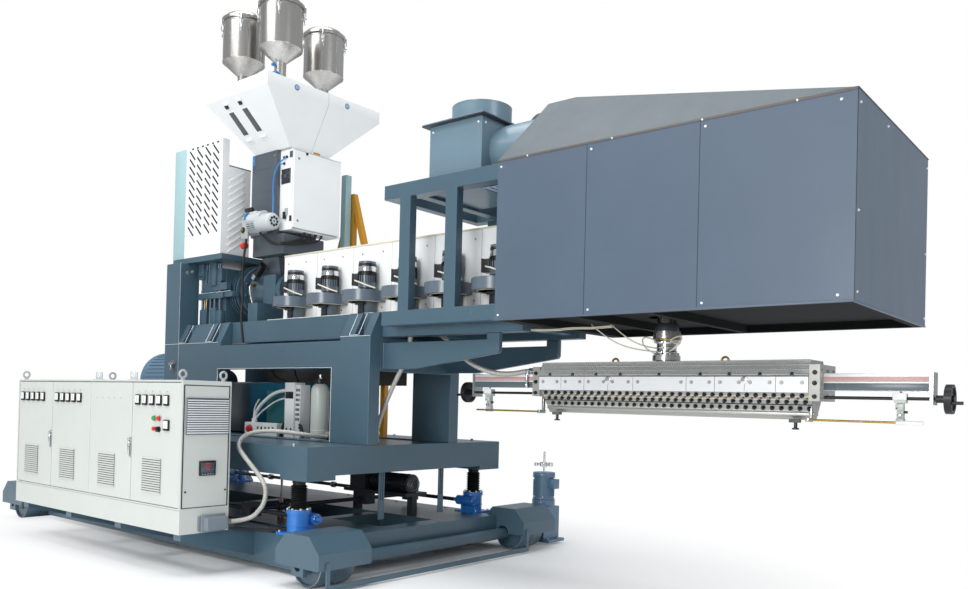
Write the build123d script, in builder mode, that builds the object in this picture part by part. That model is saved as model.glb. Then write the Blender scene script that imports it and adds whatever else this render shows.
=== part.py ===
"""Extrusion laminating machine: an extruder on a wheeled carriage, with its lift, hood and flat die."""
import math
import os

from build123d import *

os.makedirs("parts", exist_ok=True)

# The machine's axis runs along X, the die end towards +X, the cabinet side towards -Y.
# The origin lies on the rail plane, in the middle between the four wheels. Sizes are in millimetres.

# Fits and working clearances
shaft_fit = 0.3
rest_gap = 0.3
moving_gap = 6.0
plate = 12.0
sheet = 5.0

# Wheels and their covers
wheelbase = 4462.0
half_gauge = 1125.0
wheel_radius = 150.0
tread_radius = 132.0
wheel_width = 300.0
flange_width = 32.0
tube_radius = 45.0
stub_radius = 30.0
cover_half_length = 226.0
cover_top_half_length = 120.0
cover_inner_y = 889.0
cover_outer_y = 1361.0
cover_bottom = 148.0
cover_break = 255.0
cover_top = 367.0
cover_sheet = 8.0
bearing_thickness = 36.0
bearing_half_width = 62.0

# Carriage beams
side_beam_outer = 1100.0
side_beam_width = 220.0
side_beam_bottom = 40.0
side_beam_top = 280.0
end_beam_depth = 155.0
end_beam_bottom = 160.0
end_beam_top = 300.0
inner_beam_y = 360.0
inner_beam_width = 120.0
inner_beam_bottom = 120.0
tie_width = 120.0
deck_thickness = 8.0

# Cabinet
cabinet_left = -1234.0
cabinet_right = 1414.0
cabinet_front = -1733.0
cabinet_back = -1337.0
plinth_bottom = 303.0
plinth_top = 469.0
cabinet_top = 1382.0
cabinet_wall = 15.0
door_thickness = 20.0
door_gap = 5.0
door_count = 4
hinge_inset = 12.0
hinge_pin_radius = 4.0
hinge_pin_reach = 10.0
bracket_width = 90.0
bracket_drop = 190.0
bracket_stations = (-1100.0, -300.0, 500.0, 1320.0)

# Lift frame
lift_half_length = 2002.0
lift_half_width = 1105.0
lift_bottom = 716.0
lift_top = 928.0
lift_end_width = 300.0
lift_side_width = 250.0
pad_length = 270.0
pad_thickness = 34.0
jack_x = 1795.0
jack_y = 1000.0
jack_base_thickness = 18.0
jack_body_radius = 82.0
jack_top = 465.0
screw_radius = 22.0
screw_bottom = 215.0
bellows_radius = 64.0
bellows_bore = 42.0
worm_offset = 96.0
worm_radius = 42.0
worm_height = 390.0
worm_half_length = 95.0
worm_stub = 42.0
shaft_radius = 17.0
hanger_y = 345.0
hanger_half_width = 30.0
hanger_bottom = 349.0
hanger_plate_top = 500.0
hanger_thickness = 12.0
hanger_rods = (-22.0, 0.0, 22.0)
hanger_rod_half = 6.0

# Side plates and columns
side_plate_outer = 526.0
side_plate_thickness = 114.0
side_plate_left = -896.0
side_plate_top = 1735.0
window_left = 11.0
window_right = 1565.0
window_sill = 941.0
window_head = 1520.0
rear_post_right = -647.0
rear_post_depth = 206.0
head_left_end = 40.0
head_right_start = 1661.0
head_step = 1765.0
head_slope_y = 430.0
slot_width = 105.0
slot_starts = (-600.0, -150.0, 1815.0)
transom_bottom = 1500.0
transom_thickness = 60.0

# Bed beams that carry the extruder
bed_outer = 400.0
bed_width = 100.0
bed_bottom = 1762.0
bed_top = 1955.0
bed_right = 3340.0
tie_stations = (-760.0, 300.0, 1250.0, 2150.0, 3180.0)
bed_tie_width = 110.0
bed_tie_bottom = 1790.0
bed_tie_top = 1900.0

# Cantilever arms under the bed
arm_outer = 384.0
arm_thickness = 40.0
arm_root_bottom = 1514.0
arm_top = 1718.0
arm_tip_bottom = 1620.0
arm_reach = 1130.0
arm_tab_length = 110.0
arm_flat = 343.0

# Extruder: heights are set off from the bed and from the barrel's axis
barrel_rise = 317.0
barrel_height = bed_top + barrel_rise
barrel_radius = 110.0
gearbox_left = -600.0
gearbox_right = -240.0
gearbox_half_width = 285.0
gearbox_height = 535.0
gearbox_top = bed_top + gearbox_height
bell_radius = 240.0
bell_taper = 14.0
bell_right = -60.0
cone_right = 150.0
cone_small_radius = 125.0
feed_right = 330.0
feed_half_height = 140.0
top_plate_left = -915.0
top_plate_right = -92.0
top_plate_half_width = 450.0
top_plate_bottom = gearbox_top + 60.0
top_plate_thickness = 53.0
rear_post_top = top_plate_bottom
cover_left = 540.0
cover_right = 3356.0
cover_half_width = 215.0
cover_base = bed_top + 5.0
cover_roof = barrel_height + 276.0

# Blowers along the barrel
blower_count = 6
blower_first = 785.0
blower_pitch = 449.0
blower_y = -302.0
blower_radius = 177.0
blower_bottom = barrel_height - 212.0
blower_height = 85.0
foot_shift = 45.0
motor_shift = 28.0
motor_radius = 70.0
motor_top = barrel_height + 108.0

# Guard and dosing tower
guard_left = -735.0
guard_right = -128.0
guard_strip_left = -950.0
guard_front = -440.0
guard_base = top_plate_bottom + top_plate_thickness
guard_top = guard_base + 1075.0
guard_sheet = 6.0
guard_side_top = guard_top - 244.0
guard_side_depth = 312.0
tower_left = 45.0
tower_right = 423.0
tower_half_width = 236.0
dosing_base_left = 85.0
dosing_base_right = 535.0
dosing_base_bottom = barrel_height + 299.0
tower_bottom = dosing_base_bottom + 184.0
tower_top = tower_bottom + 770.0
throat_half_length = 85.0
throat_half_width = 90.0
throat_centre = 235.0
box_right = 621.0
box_front = -200.0
box_back = 350.0
box_bottom = tower_bottom + 35.0
box_top = tower_top - 7.0
box_wall = 12.0
box_door_thickness = 18.0
feeder_x = 205.0
feeder_z = tower_bottom + 135.0
hopper_centre = 352.0
hopper_half_length = 454.0
hopper_half_width = 652.0
hopper_rim_bottom = tower_top + 397.0
hopper_rim_top = hopper_rim_bottom + 105.0
hopper_neck_left = 86.0
hopper_neck_right = 581.0
hopper_neck_half_width = 229.0
hopper_sheet = 8.0
loader_places = ((0.0, -330.0), (550.0, -330.0), (350.0, 330.0))
loader_radius = 190.0
loader_sheet = 5.0
loader_neck_radius = 52.0
loader_cone_bottom = hopper_rim_top + 218.0
loader_body_bottom = loader_cone_bottom + 120.0
loader_rim = loader_body_bottom + 370.0
loader_lid_top = loader_rim + 80.0

# Duct stand, duct box and outlet
stand_left = 2142.0
stand_right = 3366.0
stand_outer = 550.0
stand_tube = 106.0
stand_post_depth = 68.0
stand_rail_bottom = 1830.0
stand_rail_top = 1936.0
stand_top = 2874.0
stand_posts = (2307.0, 2755.0)
stand_cross_width = 80.0
duct_box_left = 2488.0
duct_box_right = 2978.0
duct_box_front = -438.0
duct_box_back = 150.0
duct_box_bottom = 2790.0
duct_box_top = 3284.0
duct_flange = 42.0
duct_sheet = 5.0
outlet_radius = 221.0
outlet_height = 155.0
duct_radius = 205.0
duct_height = 3058.0
duct_right = 3412.0
fan_motor_x = 3000.0
fan_motor_height = 3368.0
fan_motor_radius = 100.0
fan_motor_front = 215.0
fan_post_front = 470.0
fan_post_width = 50.0

# Hood over the die
hood_left = 3366.0
hood_right = 5535.0
hood_half_width = 741.0
hood_bottom = 1800.0
hood_top = 2822.0
hood_apex = duct_height + duct_radius + 30.0
apex_left = 3446.0
apex_right = 3664.0
apex_half_width = 311.0
hood_sheet = 5.0
hood_angle = 50.0
hood_seams = (4031.0, 4738.0)
hood_cross_bars = (3900.0, 4400.0)
panel_gap = 3.0
hood_floor_lift = 40.0
adapter_x = 4196.0
adapter_radius = 62.0
adapter_flange_radius = 88.0
adapter_flange = 48.0
adapter_flange_drop = 40.0

# Flat die and its deckle rails
die_left = 3307.0
heater_pitch = 183.0
heater_count = 10
die_right = die_left + heater_count * heater_pitch
die_top = 1475.0
die_end_length = 60.0
die_end_bottom = 1330.0
die_end_rise = 60.0
die_shoulder = 1376.0
die_half_width = 118.0
heater_thickness = 28.0
die_lip_top = 1262.0
die_lip_bottom = 1222.0
die_lip_half_width = 34.0
mat_height = 88.0
rail_right_end = 5735.0
rail_left_end = 2679.0
rail_front = -86.0
rail_back = -18.0
rail_bottom = 1390.0
rail_top = 1486.0
end_plate_bottom = 1320.0
end_plate_thickness = 16.0
deckle_rod_height = 1352.0
deckle_rod_y = -52.0
deckle_rod_radius = 9.0
deckle_wheel_radius = 77.0
deckle_wheel_offset = 47.0
deckle_wheel_width = 34.0
deckle_handle_reach = 133.0
clamp_half_length = 28.0
clamp_bottom = 1212.0
clamp_top = 1378.0
clamp_right = 5590.0
clamp_left = 2800.0

# Drives
travel_drive_y = 1498.0
travel_box_half = 105.0
travel_box_top = 400.0
travel_motor_radius = 92.0
travel_motor_top = 600.0
travel_cap_top = 648.0
travel_wheel_height = 720.0
travel_wheel_radius = 92.0
travel_wheel_lobes = 5
spindle_top = 838.0
lift_motor_y = 330.0
lift_motor_height = 560.0
lift_motor_radius = 78.0
lift_base_right = 1720.0
main_motor_left = -1750.0
main_motor_gap = 60.0
main_motor_radius = 300.0
main_motor_height = 1420.0

# Far side
mast_left = 390.0
mast_width = 71.0
mast_y = 560.0
mast_top = 3467.0
frame_post_left = 431.0
frame_tube = 60.0
frame_y = 640.0
frame_depth = 50.0
frame_top = 3293.0
frame_knee = 1790.0
frame_spread = 495.0

# Services behind the window
accumulator_x = 1155.0
accumulator_y = -285.0
accumulator_radius = 76.0
accumulator_shoulder = 1400.0
accumulator_valve = 1440.0
accumulator_top = 1480.0
meter_box_left = 700.0
meter_box_right = 790.0
perforated_box_right = 900.0
meter_box_top = 1410.0
switch_box_left = 80.0
switch_box_right = 560.0
switch_box_top = 1045.0
tank_left = -600.0
tank_right = 640.0
tank_top = 1420.0
joint_box_x = 1395.0
joint_box_half = 38.0
joint_box_front = -400.0
joint_box_depth = 60.0
joint_box_height = 80.0

# Cords: the conduit from the cable box to the deck, and two metal hoses under the bed
conduit_radius = 17.0
hose_radius = 18.0
gland_radius = 24.0
gland_x = 1458.0
gland_end = -1366.0
gland_height = 370.0

front_axle = wheelbase / 2
rear_axle = -wheelbase / 2
lift_inner_y = lift_half_width - lift_side_width
side_plate_inner = side_plate_outer - side_plate_thickness


def block(x0, x1, y0, y1, z0, z1, mode=Mode.ADD):
    """A box between two corners, in the part being built."""
    with BuildSketch(Plane.XY.offset(z0)) as base:
        with Locations(((x0 + x1) / 2, (y0 + y1) / 2)):
            Rectangle(x1 - x0, y1 - y0)
    extrude(to_extrude=base.sketch, amount=z1 - z0, mode=mode)


def rod_x(y, z, radius, x0, x1, mode=Mode.ADD):
    """A round bar along X."""
    with BuildSketch(Plane.YZ.offset(x0)) as end:
        with Locations((y, z)):
            Circle(radius)
    extrude(to_extrude=end.sketch, amount=x1 - x0, mode=mode)


def rod_y(x, z, radius, y0, y1, mode=Mode.ADD):
    """A round bar along Y."""
    with BuildSketch(Plane.XZ.offset(-y1)) as end:
        with Locations((x, z)):
            Circle(radius)
    extrude(to_extrude=end.sketch, amount=y1 - y0, mode=mode)


def rod_z(x, y, radius, z0, z1, mode=Mode.ADD):
    """A round bar along Z."""
    with BuildSketch(Plane.XY.offset(z0)) as end:
        with Locations((x, y)):
            Circle(radius)
    extrude(to_extrude=end.sketch, amount=z1 - z0, mode=mode)


def profile_y(points, y0, y1, mode=Mode.ADD):
    """An outline in X and Z, drawn out along Y."""
    with BuildSketch(Plane.XZ.offset(-y1)) as outline:
        with BuildLine():
            Polyline(*points, close=True)
        make_face()
    extrude(to_extrude=outline.sketch, amount=y1 - y0, mode=mode)


def profile_x(points, x0, x1, mode=Mode.ADD):
    """An outline in Y and Z, drawn out along X."""
    with BuildSketch(Plane.YZ.offset(x0)) as outline:
        with BuildLine():
            Polyline(*points, close=True)
        make_face()
    extrude(to_extrude=outline.sketch, amount=x1 - x0, mode=mode)


def cone_x(y, z, radius0, radius1, x0, x1, mode=Mode.ADD):
    """A round cone along X, from one radius to the other."""
    with BuildSketch(Plane.YZ.offset(x0)) as first:
        with Locations((y, z)):
            Circle(radius0)
    with BuildSketch(Plane.YZ.offset(x1)) as second:
        with Locations((y, z)):
            Circle(radius1)
    loft(sections=[first.sketch, second.sketch], mode=mode)


def cone_z(x, y, radius0, radius1, z0, z1, mode=Mode.ADD):
    """A round cone along Z, from one radius to the other."""
    with BuildSketch(Plane.XY.offset(z0)) as first:
        with Locations((x, y)):
            Circle(radius0)
    with BuildSketch(Plane.XY.offset(z1)) as second:
        with Locations((x, y)):
            Circle(radius1)
    loft(sections=[first.sketch, second.sketch], mode=mode)


def frustum(bottom, top, mode=Mode.ADD):
    """A four-sided hopper or roof shape between two level rectangles (x0, x1, y0, y1, z)."""
    sketches = []
    for x0, x1, y0, y1, z in (bottom, top):
        with BuildSketch(Plane.XY.offset(z)) as level:
            with Locations(((x0 + x1) / 2, (y0 + y1) / 2)):
                Rectangle(x1 - x0, y1 - y0)
        sketches.append(level.sketch)
    loft(sections=sketches, mode=mode)


def save(part, label):
    """Name a finished piece and write it."""
    part.label = label
    export_step(part, f"parts/{label}.step")


def grow(x0, x1, y0, y1, z, by):
    """A level rectangle made larger on every side."""
    return (x0 - by, x1 + by, y0 - by, y1 + by, z)


worm_y = jack_y - worm_offset

# Wheelsets: two double-flanged wheels on one torque tube, with a stub axle at each outer end
wheel_inner = half_gauge - wheel_width / 2
wheel_outer = half_gauge + wheel_width / 2
stub_end = cover_outer_y - cover_sheet - rest_gap
for wheelset_name, axle_x in (("front_wheelset", front_axle), ("rear_wheelset", rear_axle)):
    with BuildPart() as wheelset:
        rod_y(axle_x, wheel_radius, tube_radius, -wheel_inner, wheel_inner)
        for side in (-1, 1):
            y0, y1 = sorted((side * wheel_inner, side * wheel_outer))
            rod_y(axle_x, wheel_radius, tread_radius, y0, y1)
            rod_y(axle_x, wheel_radius, wheel_radius, y0, y0 + flange_width)
            rod_y(axle_x, wheel_radius, wheel_radius, y1 - flange_width, y1)
            y0, y1 = sorted((side * wheel_outer, side * stub_end))
            rod_y(axle_x, wheel_radius, stub_radius, y0, y1)
    save(wheelset.part, wheelset_name)

# Wheel covers: bent sheet hoods, open below, notched for the torque tube
notch_half_width = tube_radius + 16.0
with BuildPart() as wheel_covers:
    for axle_x in (front_axle, rear_axle):
        for side in (-1, 1):
            for inset, mode in ((0.0, Mode.ADD), (cover_sheet, Mode.SUBTRACT)):
                half = cover_half_length - inset
                top_half = cover_top_half_length - inset / 2
                floor = cover_bottom - (1.0 if inset else 0.0)
                outline = (
                    (axle_x - half, floor),
                    (axle_x + half, floor),
                    (axle_x + half, cover_break - inset / 3),
                    (axle_x + top_half, cover_top - inset),
                    (axle_x - top_half, cover_top - inset),
                    (axle_x - half, cover_break - inset / 3),
                )
                y0, y1 = sorted((side * (cover_inner_y + inset), side * (cover_outer_y - inset)))
                profile_y(outline, y0, y1, mode)
            y0, y1 = sorted((side * (cover_inner_y - 1), side * (cover_inner_y + cover_sheet + 1)))
            rod_y(axle_x, wheel_radius, notch_half_width, y0, y1, Mode.SUBTRACT)
            notch_bottom = cover_bottom - 1
            block(axle_x - notch_half_width, axle_x + notch_half_width, y0, y1,
                  notch_bottom, wheel_radius, Mode.SUBTRACT)
    # Axle bearing plates on the outer walls, and the low guard bar between the front covers
    for axle_x in (front_axle, rear_axle):
        for side in (-1, 1):
            y_outer = side * (cover_outer_y - cover_sheet)
            y0, y1 = sorted((y_outer, y_outer - side * bearing_thickness))
            block(axle_x - bearing_half_width, axle_x + bearing_half_width, y0, y1,
                  wheel_radius - bearing_half_width, cover_top - cover_sheet)
            rod_y(axle_x, wheel_radius, stub_radius + shaft_fit, y0 - 1, y1 + 1, Mode.SUBTRACT)
    bar_x = front_axle + cover_half_length
    block(bar_x, bar_x + 14, -cover_outer_y + 60, cover_inner_y + 60, 14.0, 50.0)
    for y in (-cover_outer_y + 60, cover_inner_y + 30):
        block(bar_x, bar_x + 14, y, y + 30, 50.0, cover_bottom + 50)
save(wheel_covers.part, "wheel_covers")

# Carriage: two side beams, end beams between the covers, inner beams and ties
cover_back = front_axle - cover_half_length
end_beam_x = cover_back + end_beam_depth
with BuildPart() as carriage_frame:
    for side in (-1, 1):
        y0, y1 = sorted((side * side_beam_outer, side * (side_beam_outer - side_beam_width)))
        block(-cover_back, cover_back, y0, y1, side_beam_bottom, side_beam_top)
        y0, y1 = sorted((side * (inner_beam_y - inner_beam_width / 2),
                         side * (inner_beam_y + inner_beam_width / 2)))
        block(-cover_back, cover_back, y0, y1, inner_beam_bottom, side_beam_top)
        x0, x1 = sorted((side * cover_back, side * end_beam_x))
        block(x0, x1, -cover_inner_y, cover_inner_y, end_beam_bottom, end_beam_top)
    for station in (-1400.0, -100.0, 1200.0):
        block(station, station + tie_width, -side_beam_outer + side_beam_width,
              side_beam_outer - side_beam_width, inner_beam_bottom, side_beam_top)
    for x_side in (-1, 1):
        for y_side in (-1, 1):
            rod_z(x_side * jack_x, y_side * jack_y, screw_radius + moving_gap,
                  side_beam_bottom - 1, side_beam_top + 1, Mode.SUBTRACT)
    # Deck plates between the beams, and tapered arms that carry the cabinet
    deck_outer = worm_y - worm_radius - moving_gap
    deck_inner = inner_beam_y - inner_beam_width / 2
    for side in (-1, 1):
        y0, y1 = sorted((side * deck_outer, side * deck_inner))
        block(-cover_back + 40, cover_back - 40, y0, y1, side_beam_top, side_beam_top + deck_thickness)
    for station in bracket_stations:
        profile_x(((-side_beam_outer, side_beam_top - bracket_drop),
                   (-side_beam_outer, plinth_bottom),
                   (cabinet_front + 15, plinth_bottom),
                   (cabinet_front + 15, plinth_bottom - 45)),
                  station, station + bracket_width)
save(carriage_frame.part, "carriage_frame")

# Cabinet shell: open in front, where the doors close it
cabinet_mouth = cabinet_front + door_thickness + door_gap
with BuildPart() as cabinet_shell:
    block(cabinet_left, cabinet_right, cabinet_front, cabinet_back, plinth_bottom, cabinet_top)
    block(cabinet_left + cabinet_wall, cabinet_right - cabinet_wall, cabinet_front - 1,
          cabinet_back - cabinet_wall, plinth_top + cabinet_wall, cabinet_top - cabinet_wall, Mode.SUBTRACT)
    door_pitch = (cabinet_right - cabinet_left - 2 * cabinet_wall - door_gap) / door_count
    door_width = door_pitch - door_gap
    hinge_y = cabinet_front + door_thickness / 2
    hinges = []
    for index in range(door_count):
        x0 = cabinet_left + cabinet_wall + door_gap + index * door_pitch
        x1 = x0 + door_width
        hinge_x = x0 + hinge_inset if index % 2 == 0 else x1 - hinge_inset
        hinges.append((x0, x1, hinge_x))
        floor_top = plinth_top + cabinet_wall
        for z0, z1 in ((floor_top - hinge_pin_reach, floor_top), (cabinet_top - cabinet_wall, cabinet_top)):
            rod_z(hinge_x, hinge_y, hinge_pin_radius + shaft_fit, z0 - 1, z1 + 1, Mode.SUBTRACT)
save(cabinet_shell.part, "cabinet_shell")

# Cabinet doors, each on two pins near its outer edge
for index, (x0, x1, hinge_x) in enumerate(hinges):
    with BuildPart() as door:
        z0 = plinth_top + cabinet_wall + door_gap
        z1 = cabinet_top - cabinet_wall - door_gap
        block(x0, x1, cabinet_front, cabinet_front + door_thickness, z0, z1)
        hinge_edge = x0 if hinge_x - x0 < x1 - hinge_x else x1
        corners = [edge for edge in door.edges().filter_by(Axis.Z)
                   if abs(edge.center().X - hinge_edge) < 1.0]
        fillet(corners, radius=door_thickness / 2 - 0.5)
        rod_z(hinge_x, hinge_y, hinge_pin_radius, z0 - hinge_pin_reach, z1 + hinge_pin_reach)
    save(door.part, f"cabinet_door_{index + 1}")

# Cooling unit let into the cabinet's end wall, and the cable box below it
with BuildPart() as cabinet_fittings:
    block(cabinet_right, cabinet_right + 14, cabinet_front + 24, cabinet_back - 20, 1000.0, 1262.0)
    block(cabinet_right, cabinet_right + 10, -1592.0, -1372.0, gland_height - 54, gland_height + 54)
    block(cabinet_right + 10, cabinet_right + 78, -1560.0, gland_end - 26, gland_height - 46, gland_height + 46)
    rod_y(gland_x, gland_height, gland_radius, gland_end - 26, gland_end)
save(cabinet_fittings.part, "cabinet_fittings")

# Screw jacks: blue housings on the side beams, worm housing on the inner side
jack_base_z = side_beam_top
with BuildPart() as jack_housings:
    for x_side in (-1, 1):
        for y_side in (-1, 1):
            x = x_side * jack_x
            y = y_side * jack_y
            block(x - 125, x + 125, y - 105, y + 105, jack_base_z, jack_base_z + jack_base_thickness)
            rod_z(x, y, jack_body_radius, jack_base_z + jack_base_thickness, jack_top - 30)
            rod_z(x, y, jack_body_radius + 9, jack_top - 30, jack_top)
            rod_x(y_side * worm_y, worm_height, worm_radius, x - worm_half_length, x + worm_half_length)
            y0, y1 = sorted((y, y_side * worm_y))
            block(x - 60, x + 60, y0, y1, jack_base_z + jack_base_thickness, worm_height + worm_radius)
            reach = worm_half_length + worm_stub
            rod_x(y_side * worm_y, worm_height, shaft_radius, x - reach, x + reach)
            rod_z(x, y, screw_radius + shaft_fit, jack_base_z - 1, jack_top + 1, Mode.SUBTRACT)
save(jack_housings.part, "jack_housings")

# Line shafts between the front and rear jacks
cross_shaft_x = 1100.0
shaft_box_half = 55.0
with BuildPart() as lift_shafts:
    for side in (-1, 1):
        reach = jack_x - worm_half_length - worm_stub
        rod_x(side * worm_y, worm_height, shaft_radius, -reach, reach)
        block(cross_shaft_x - shaft_box_half, cross_shaft_x + shaft_box_half,
              side * worm_y - shaft_box_half, side * worm_y + shaft_box_half,
              worm_height - shaft_box_half, worm_height + shaft_box_half)
    rod_y(cross_shaft_x, worm_height, shaft_radius, -worm_y, worm_y)
save(lift_shafts.part, "lift_shafts")

# Lift drive: motor and gearbox on a base over the inner beam, above the cross shaft
lift_gear_left = 1000.0
lift_gear_right = 1200.0
with BuildPart() as lift_drive:
    block(lift_gear_left - 60, lift_base_right, lift_motor_y - 130, lift_motor_y + 130,
          lift_motor_height - lift_motor_radius - 24, lift_motor_height - lift_motor_radius + 6)
    block(lift_gear_left, lift_gear_right, lift_motor_y - 110, lift_motor_y + 110,
          lift_motor_height - lift_motor_radius, lift_motor_height + 84)
    rod_x(lift_motor_y, lift_motor_height, lift_motor_radius, lift_gear_right, lift_base_right - 120)
    rod_x(lift_motor_y, lift_motor_height, lift_motor_radius + 6, lift_base_right - 120, lift_base_right - 50)
    block(cross_shaft_x - shaft_box_half, cross_shaft_x + shaft_box_half, lift_motor_y - shaft_box_half,
          lift_motor_y + shaft_box_half, worm_height - 50, lift_motor_height - lift_motor_radius - 24)
    for x0 in (lift_gear_left - 40, lift_base_right - 80):
        block(x0, x0 + 60, lift_motor_y - 30, lift_motor_y + 30, side_beam_top + deck_thickness,
              lift_motor_height - lift_motor_radius - 24)
    rod_y(cross_shaft_x, worm_height, shaft_radius + shaft_fit, lift_motor_y - 200, lift_motor_y + 200,
          Mode.SUBTRACT)
save(lift_drive.part, "lift_drive")

# Travel drive beside the far front wheel: gearbox, upright motor and fan cap
travel_front = cover_outer_y
with BuildPart() as travel_drive:
    block(front_axle - travel_box_half, front_axle + travel_box_half, travel_front,
          travel_drive_y + travel_box_half, 48.0, travel_box_top - 60)
    block(front_axle - 150, front_axle + 150, travel_front + 20, travel_drive_y + 130, 22.0, 48.0)
    rod_z(front_axle, travel_drive_y, travel_box_half, travel_box_top - 60, travel_box_top)
    rod_z(front_axle, travel_drive_y, travel_motor_radius, travel_box_top, travel_motor_top)
    rod_z(front_axle, travel_drive_y, travel_motor_radius + 9, travel_motor_top, travel_cap_top)
    block(front_axle + 60, front_axle + 140, travel_drive_y - 45, travel_drive_y + 45, 505.0, 590.0)
    rod_z(front_axle, travel_drive_y, 9.0 + shaft_fit, travel_cap_top - 30, travel_cap_top + 1, Mode.SUBTRACT)
save(travel_drive.part, "travel_drive")

with BuildPart() as travel_handwheel:
    rod_z(front_axle, travel_drive_y, 9.0, travel_cap_top - 28, spindle_top)
    rod_z(front_axle, travel_drive_y, 26.0, travel_wheel_height - 22, travel_wheel_height + 20)
    for lobe in range(travel_wheel_lobes):
        angle = lobe * 2 * math.pi / travel_wheel_lobes
        x = front_axle + (travel_wheel_radius - 20) * math.cos(angle)
        y = travel_drive_y + (travel_wheel_radius - 20) * math.sin(angle)
        rod_z(x, y, 20.0, travel_wheel_height - 14, travel_wheel_height + 14)
        with BuildSketch(Plane.XY.offset(travel_wheel_height - 10)) as arm:
            with Locations(Location((front_axle, travel_drive_y), math.degrees(angle))):
                with Locations(((travel_wheel_radius - 20) / 2, 0)):
                    Rectangle(travel_wheel_radius - 20, 24.0)
        extrude(to_extrude=arm.sketch, amount=20.0)
save(travel_handwheel.part, "travel_handwheel")

# Lift frame: ring of box beams with a deck, and a jack pad under each corner
with BuildPart() as lift_frame:
    block(-lift_half_length, lift_half_length, -lift_half_width, lift_half_width, lift_bottom, lift_top)
    block(-lift_half_length + lift_end_width, lift_half_length - lift_end_width,
          -lift_inner_y, lift_inner_y, lift_bottom - 1, lift_top - deck_thickness, Mode.SUBTRACT)
    for x_side in (-1, 1):
        for y_side in (-1, 1):
            x0, x1 = sorted((x_side * lift_half_length, x_side * (lift_half_length - lift_end_width)))
            y0, y1 = sorted((y_side * lift_half_width, y_side * (lift_half_width - pad_length)))
            block(x0, x1, y0, y1, lift_bottom - pad_thickness, lift_bottom)
    # Flat hangers with rods, under the front end
    for side in (-1, 1):
        y = side * hanger_y
        x = lift_half_length - 28
        block(x, x + hanger_thickness, y - hanger_half_width, y + hanger_half_width,
              hanger_bottom, hanger_plate_top)
        for shift in hanger_rods:
            block(x, x + hanger_thickness, y + shift - hanger_rod_half, y + shift + hanger_rod_half,
                  hanger_plate_top, lift_bottom)
save(lift_frame.part, "lift_frame")

pad_bottom = lift_bottom - pad_thickness
with BuildPart() as jack_screws:
    for x_side in (-1, 1):
        for y_side in (-1, 1):
            rod_z(x_side * jack_x, y_side * jack_y, screw_radius, screw_bottom, pad_bottom)
save(jack_screws.part, "jack_screws")

with BuildPart() as jack_bellows:
    for x_side in (-1, 1):
        for y_side in (-1, 1):
            rod_z(x_side * jack_x, y_side * jack_y, bellows_radius, jack_top + rest_gap, pad_bottom - 40)
            rod_z(x_side * jack_x, y_side * jack_y, bellows_radius - 12, pad_bottom - 40, pad_bottom)
            rod_z(x_side * jack_x, y_side * jack_y, bellows_bore, jack_top, pad_bottom + 1, Mode.SUBTRACT)
save(jack_bellows.part, "jack_bellows")

# Side plates with the service window, the gusset heads and the rear posts
with BuildPart() as side_plates:
    for side in (-1, 1):
        y0, y1 = sorted((side * side_plate_outer, side * side_plate_inner))
        block(side_plate_left, lift_half_length, y0, y1, lift_top, side_plate_top)
        block(window_left, window_right, y0 - 1, y1 + 1, window_sill, window_head, Mode.SUBTRACT)
        head = (
            (side * side_plate_outer, side_plate_top),
            (side * side_plate_outer, head_step),
            (side * head_slope_y, bed_top),
            (side * bed_outer, bed_top),
            (side * bed_outer, side_plate_top),
        )
        profile_x(head, rear_post_right, head_left_end)
        profile_x(head, head_right_start, lift_half_length)
        for start in slot_starts:
            y0, y1 = sorted((side * (side_plate_outer + 1), side * (bed_outer + 12)))
            block(start, start + slot_width, y0, y1, head_step, bed_top + 1, Mode.SUBTRACT)
        y0, y1 = sorted((side * side_plate_outer, side * bed_outer))
        block(side_plate_left, rear_post_right, y0, y1, side_plate_top, bed_top)
        y0, y1 = sorted((side * side_plate_outer, side * (side_plate_outer - rear_post_depth)))
        block(side_plate_left, rear_post_right, y0, y1, bed_top, rear_post_top)
save(side_plates.part, "side_plates")

# Transom that ties the front columns, with the cantilever arms on it
with BuildPart() as cantilever_arms:
    block(lift_half_length - transom_thickness, lift_half_length, -side_plate_inner, side_plate_inner,
          transom_bottom, side_plate_top)
    block(lift_half_length - transom_thickness, lift_half_length, -bed_outer, bed_outer,
          side_plate_top, bed_bottom)
    tip = lift_half_length + arm_reach
    for side in (-1, 1):
        y0, y1 = sorted((side * arm_outer, side * (arm_outer - arm_thickness)))
        profile_y(((lift_half_length, arm_root_bottom),
                   (lift_half_length + arm_flat, arm_root_bottom),
                   (tip - 14, arm_tip_bottom),
                   (tip, arm_tip_bottom + 18),
                   (tip, bed_bottom),
                   (tip - arm_tab_length, bed_bottom),
                   (tip - arm_tab_length, arm_top),
                   (lift_half_length, arm_top)), y0, y1)
save(cantilever_arms.part, "cantilever_arms")

# Bed beams and their ties
with BuildPart() as bed_beams:
    for side in (-1, 1):
        y0, y1 = sorted((side * bed_outer, side * (bed_outer - bed_width)))
        block(side_plate_left, bed_right, y0, y1, bed_bottom, bed_top)
    for station in tie_stations:
        block(station, station + bed_tie_width, -bed_outer + bed_width, bed_outer - bed_width,
              bed_tie_bottom, bed_tie_top)
save(bed_beams.part, "bed_beams")

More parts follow.
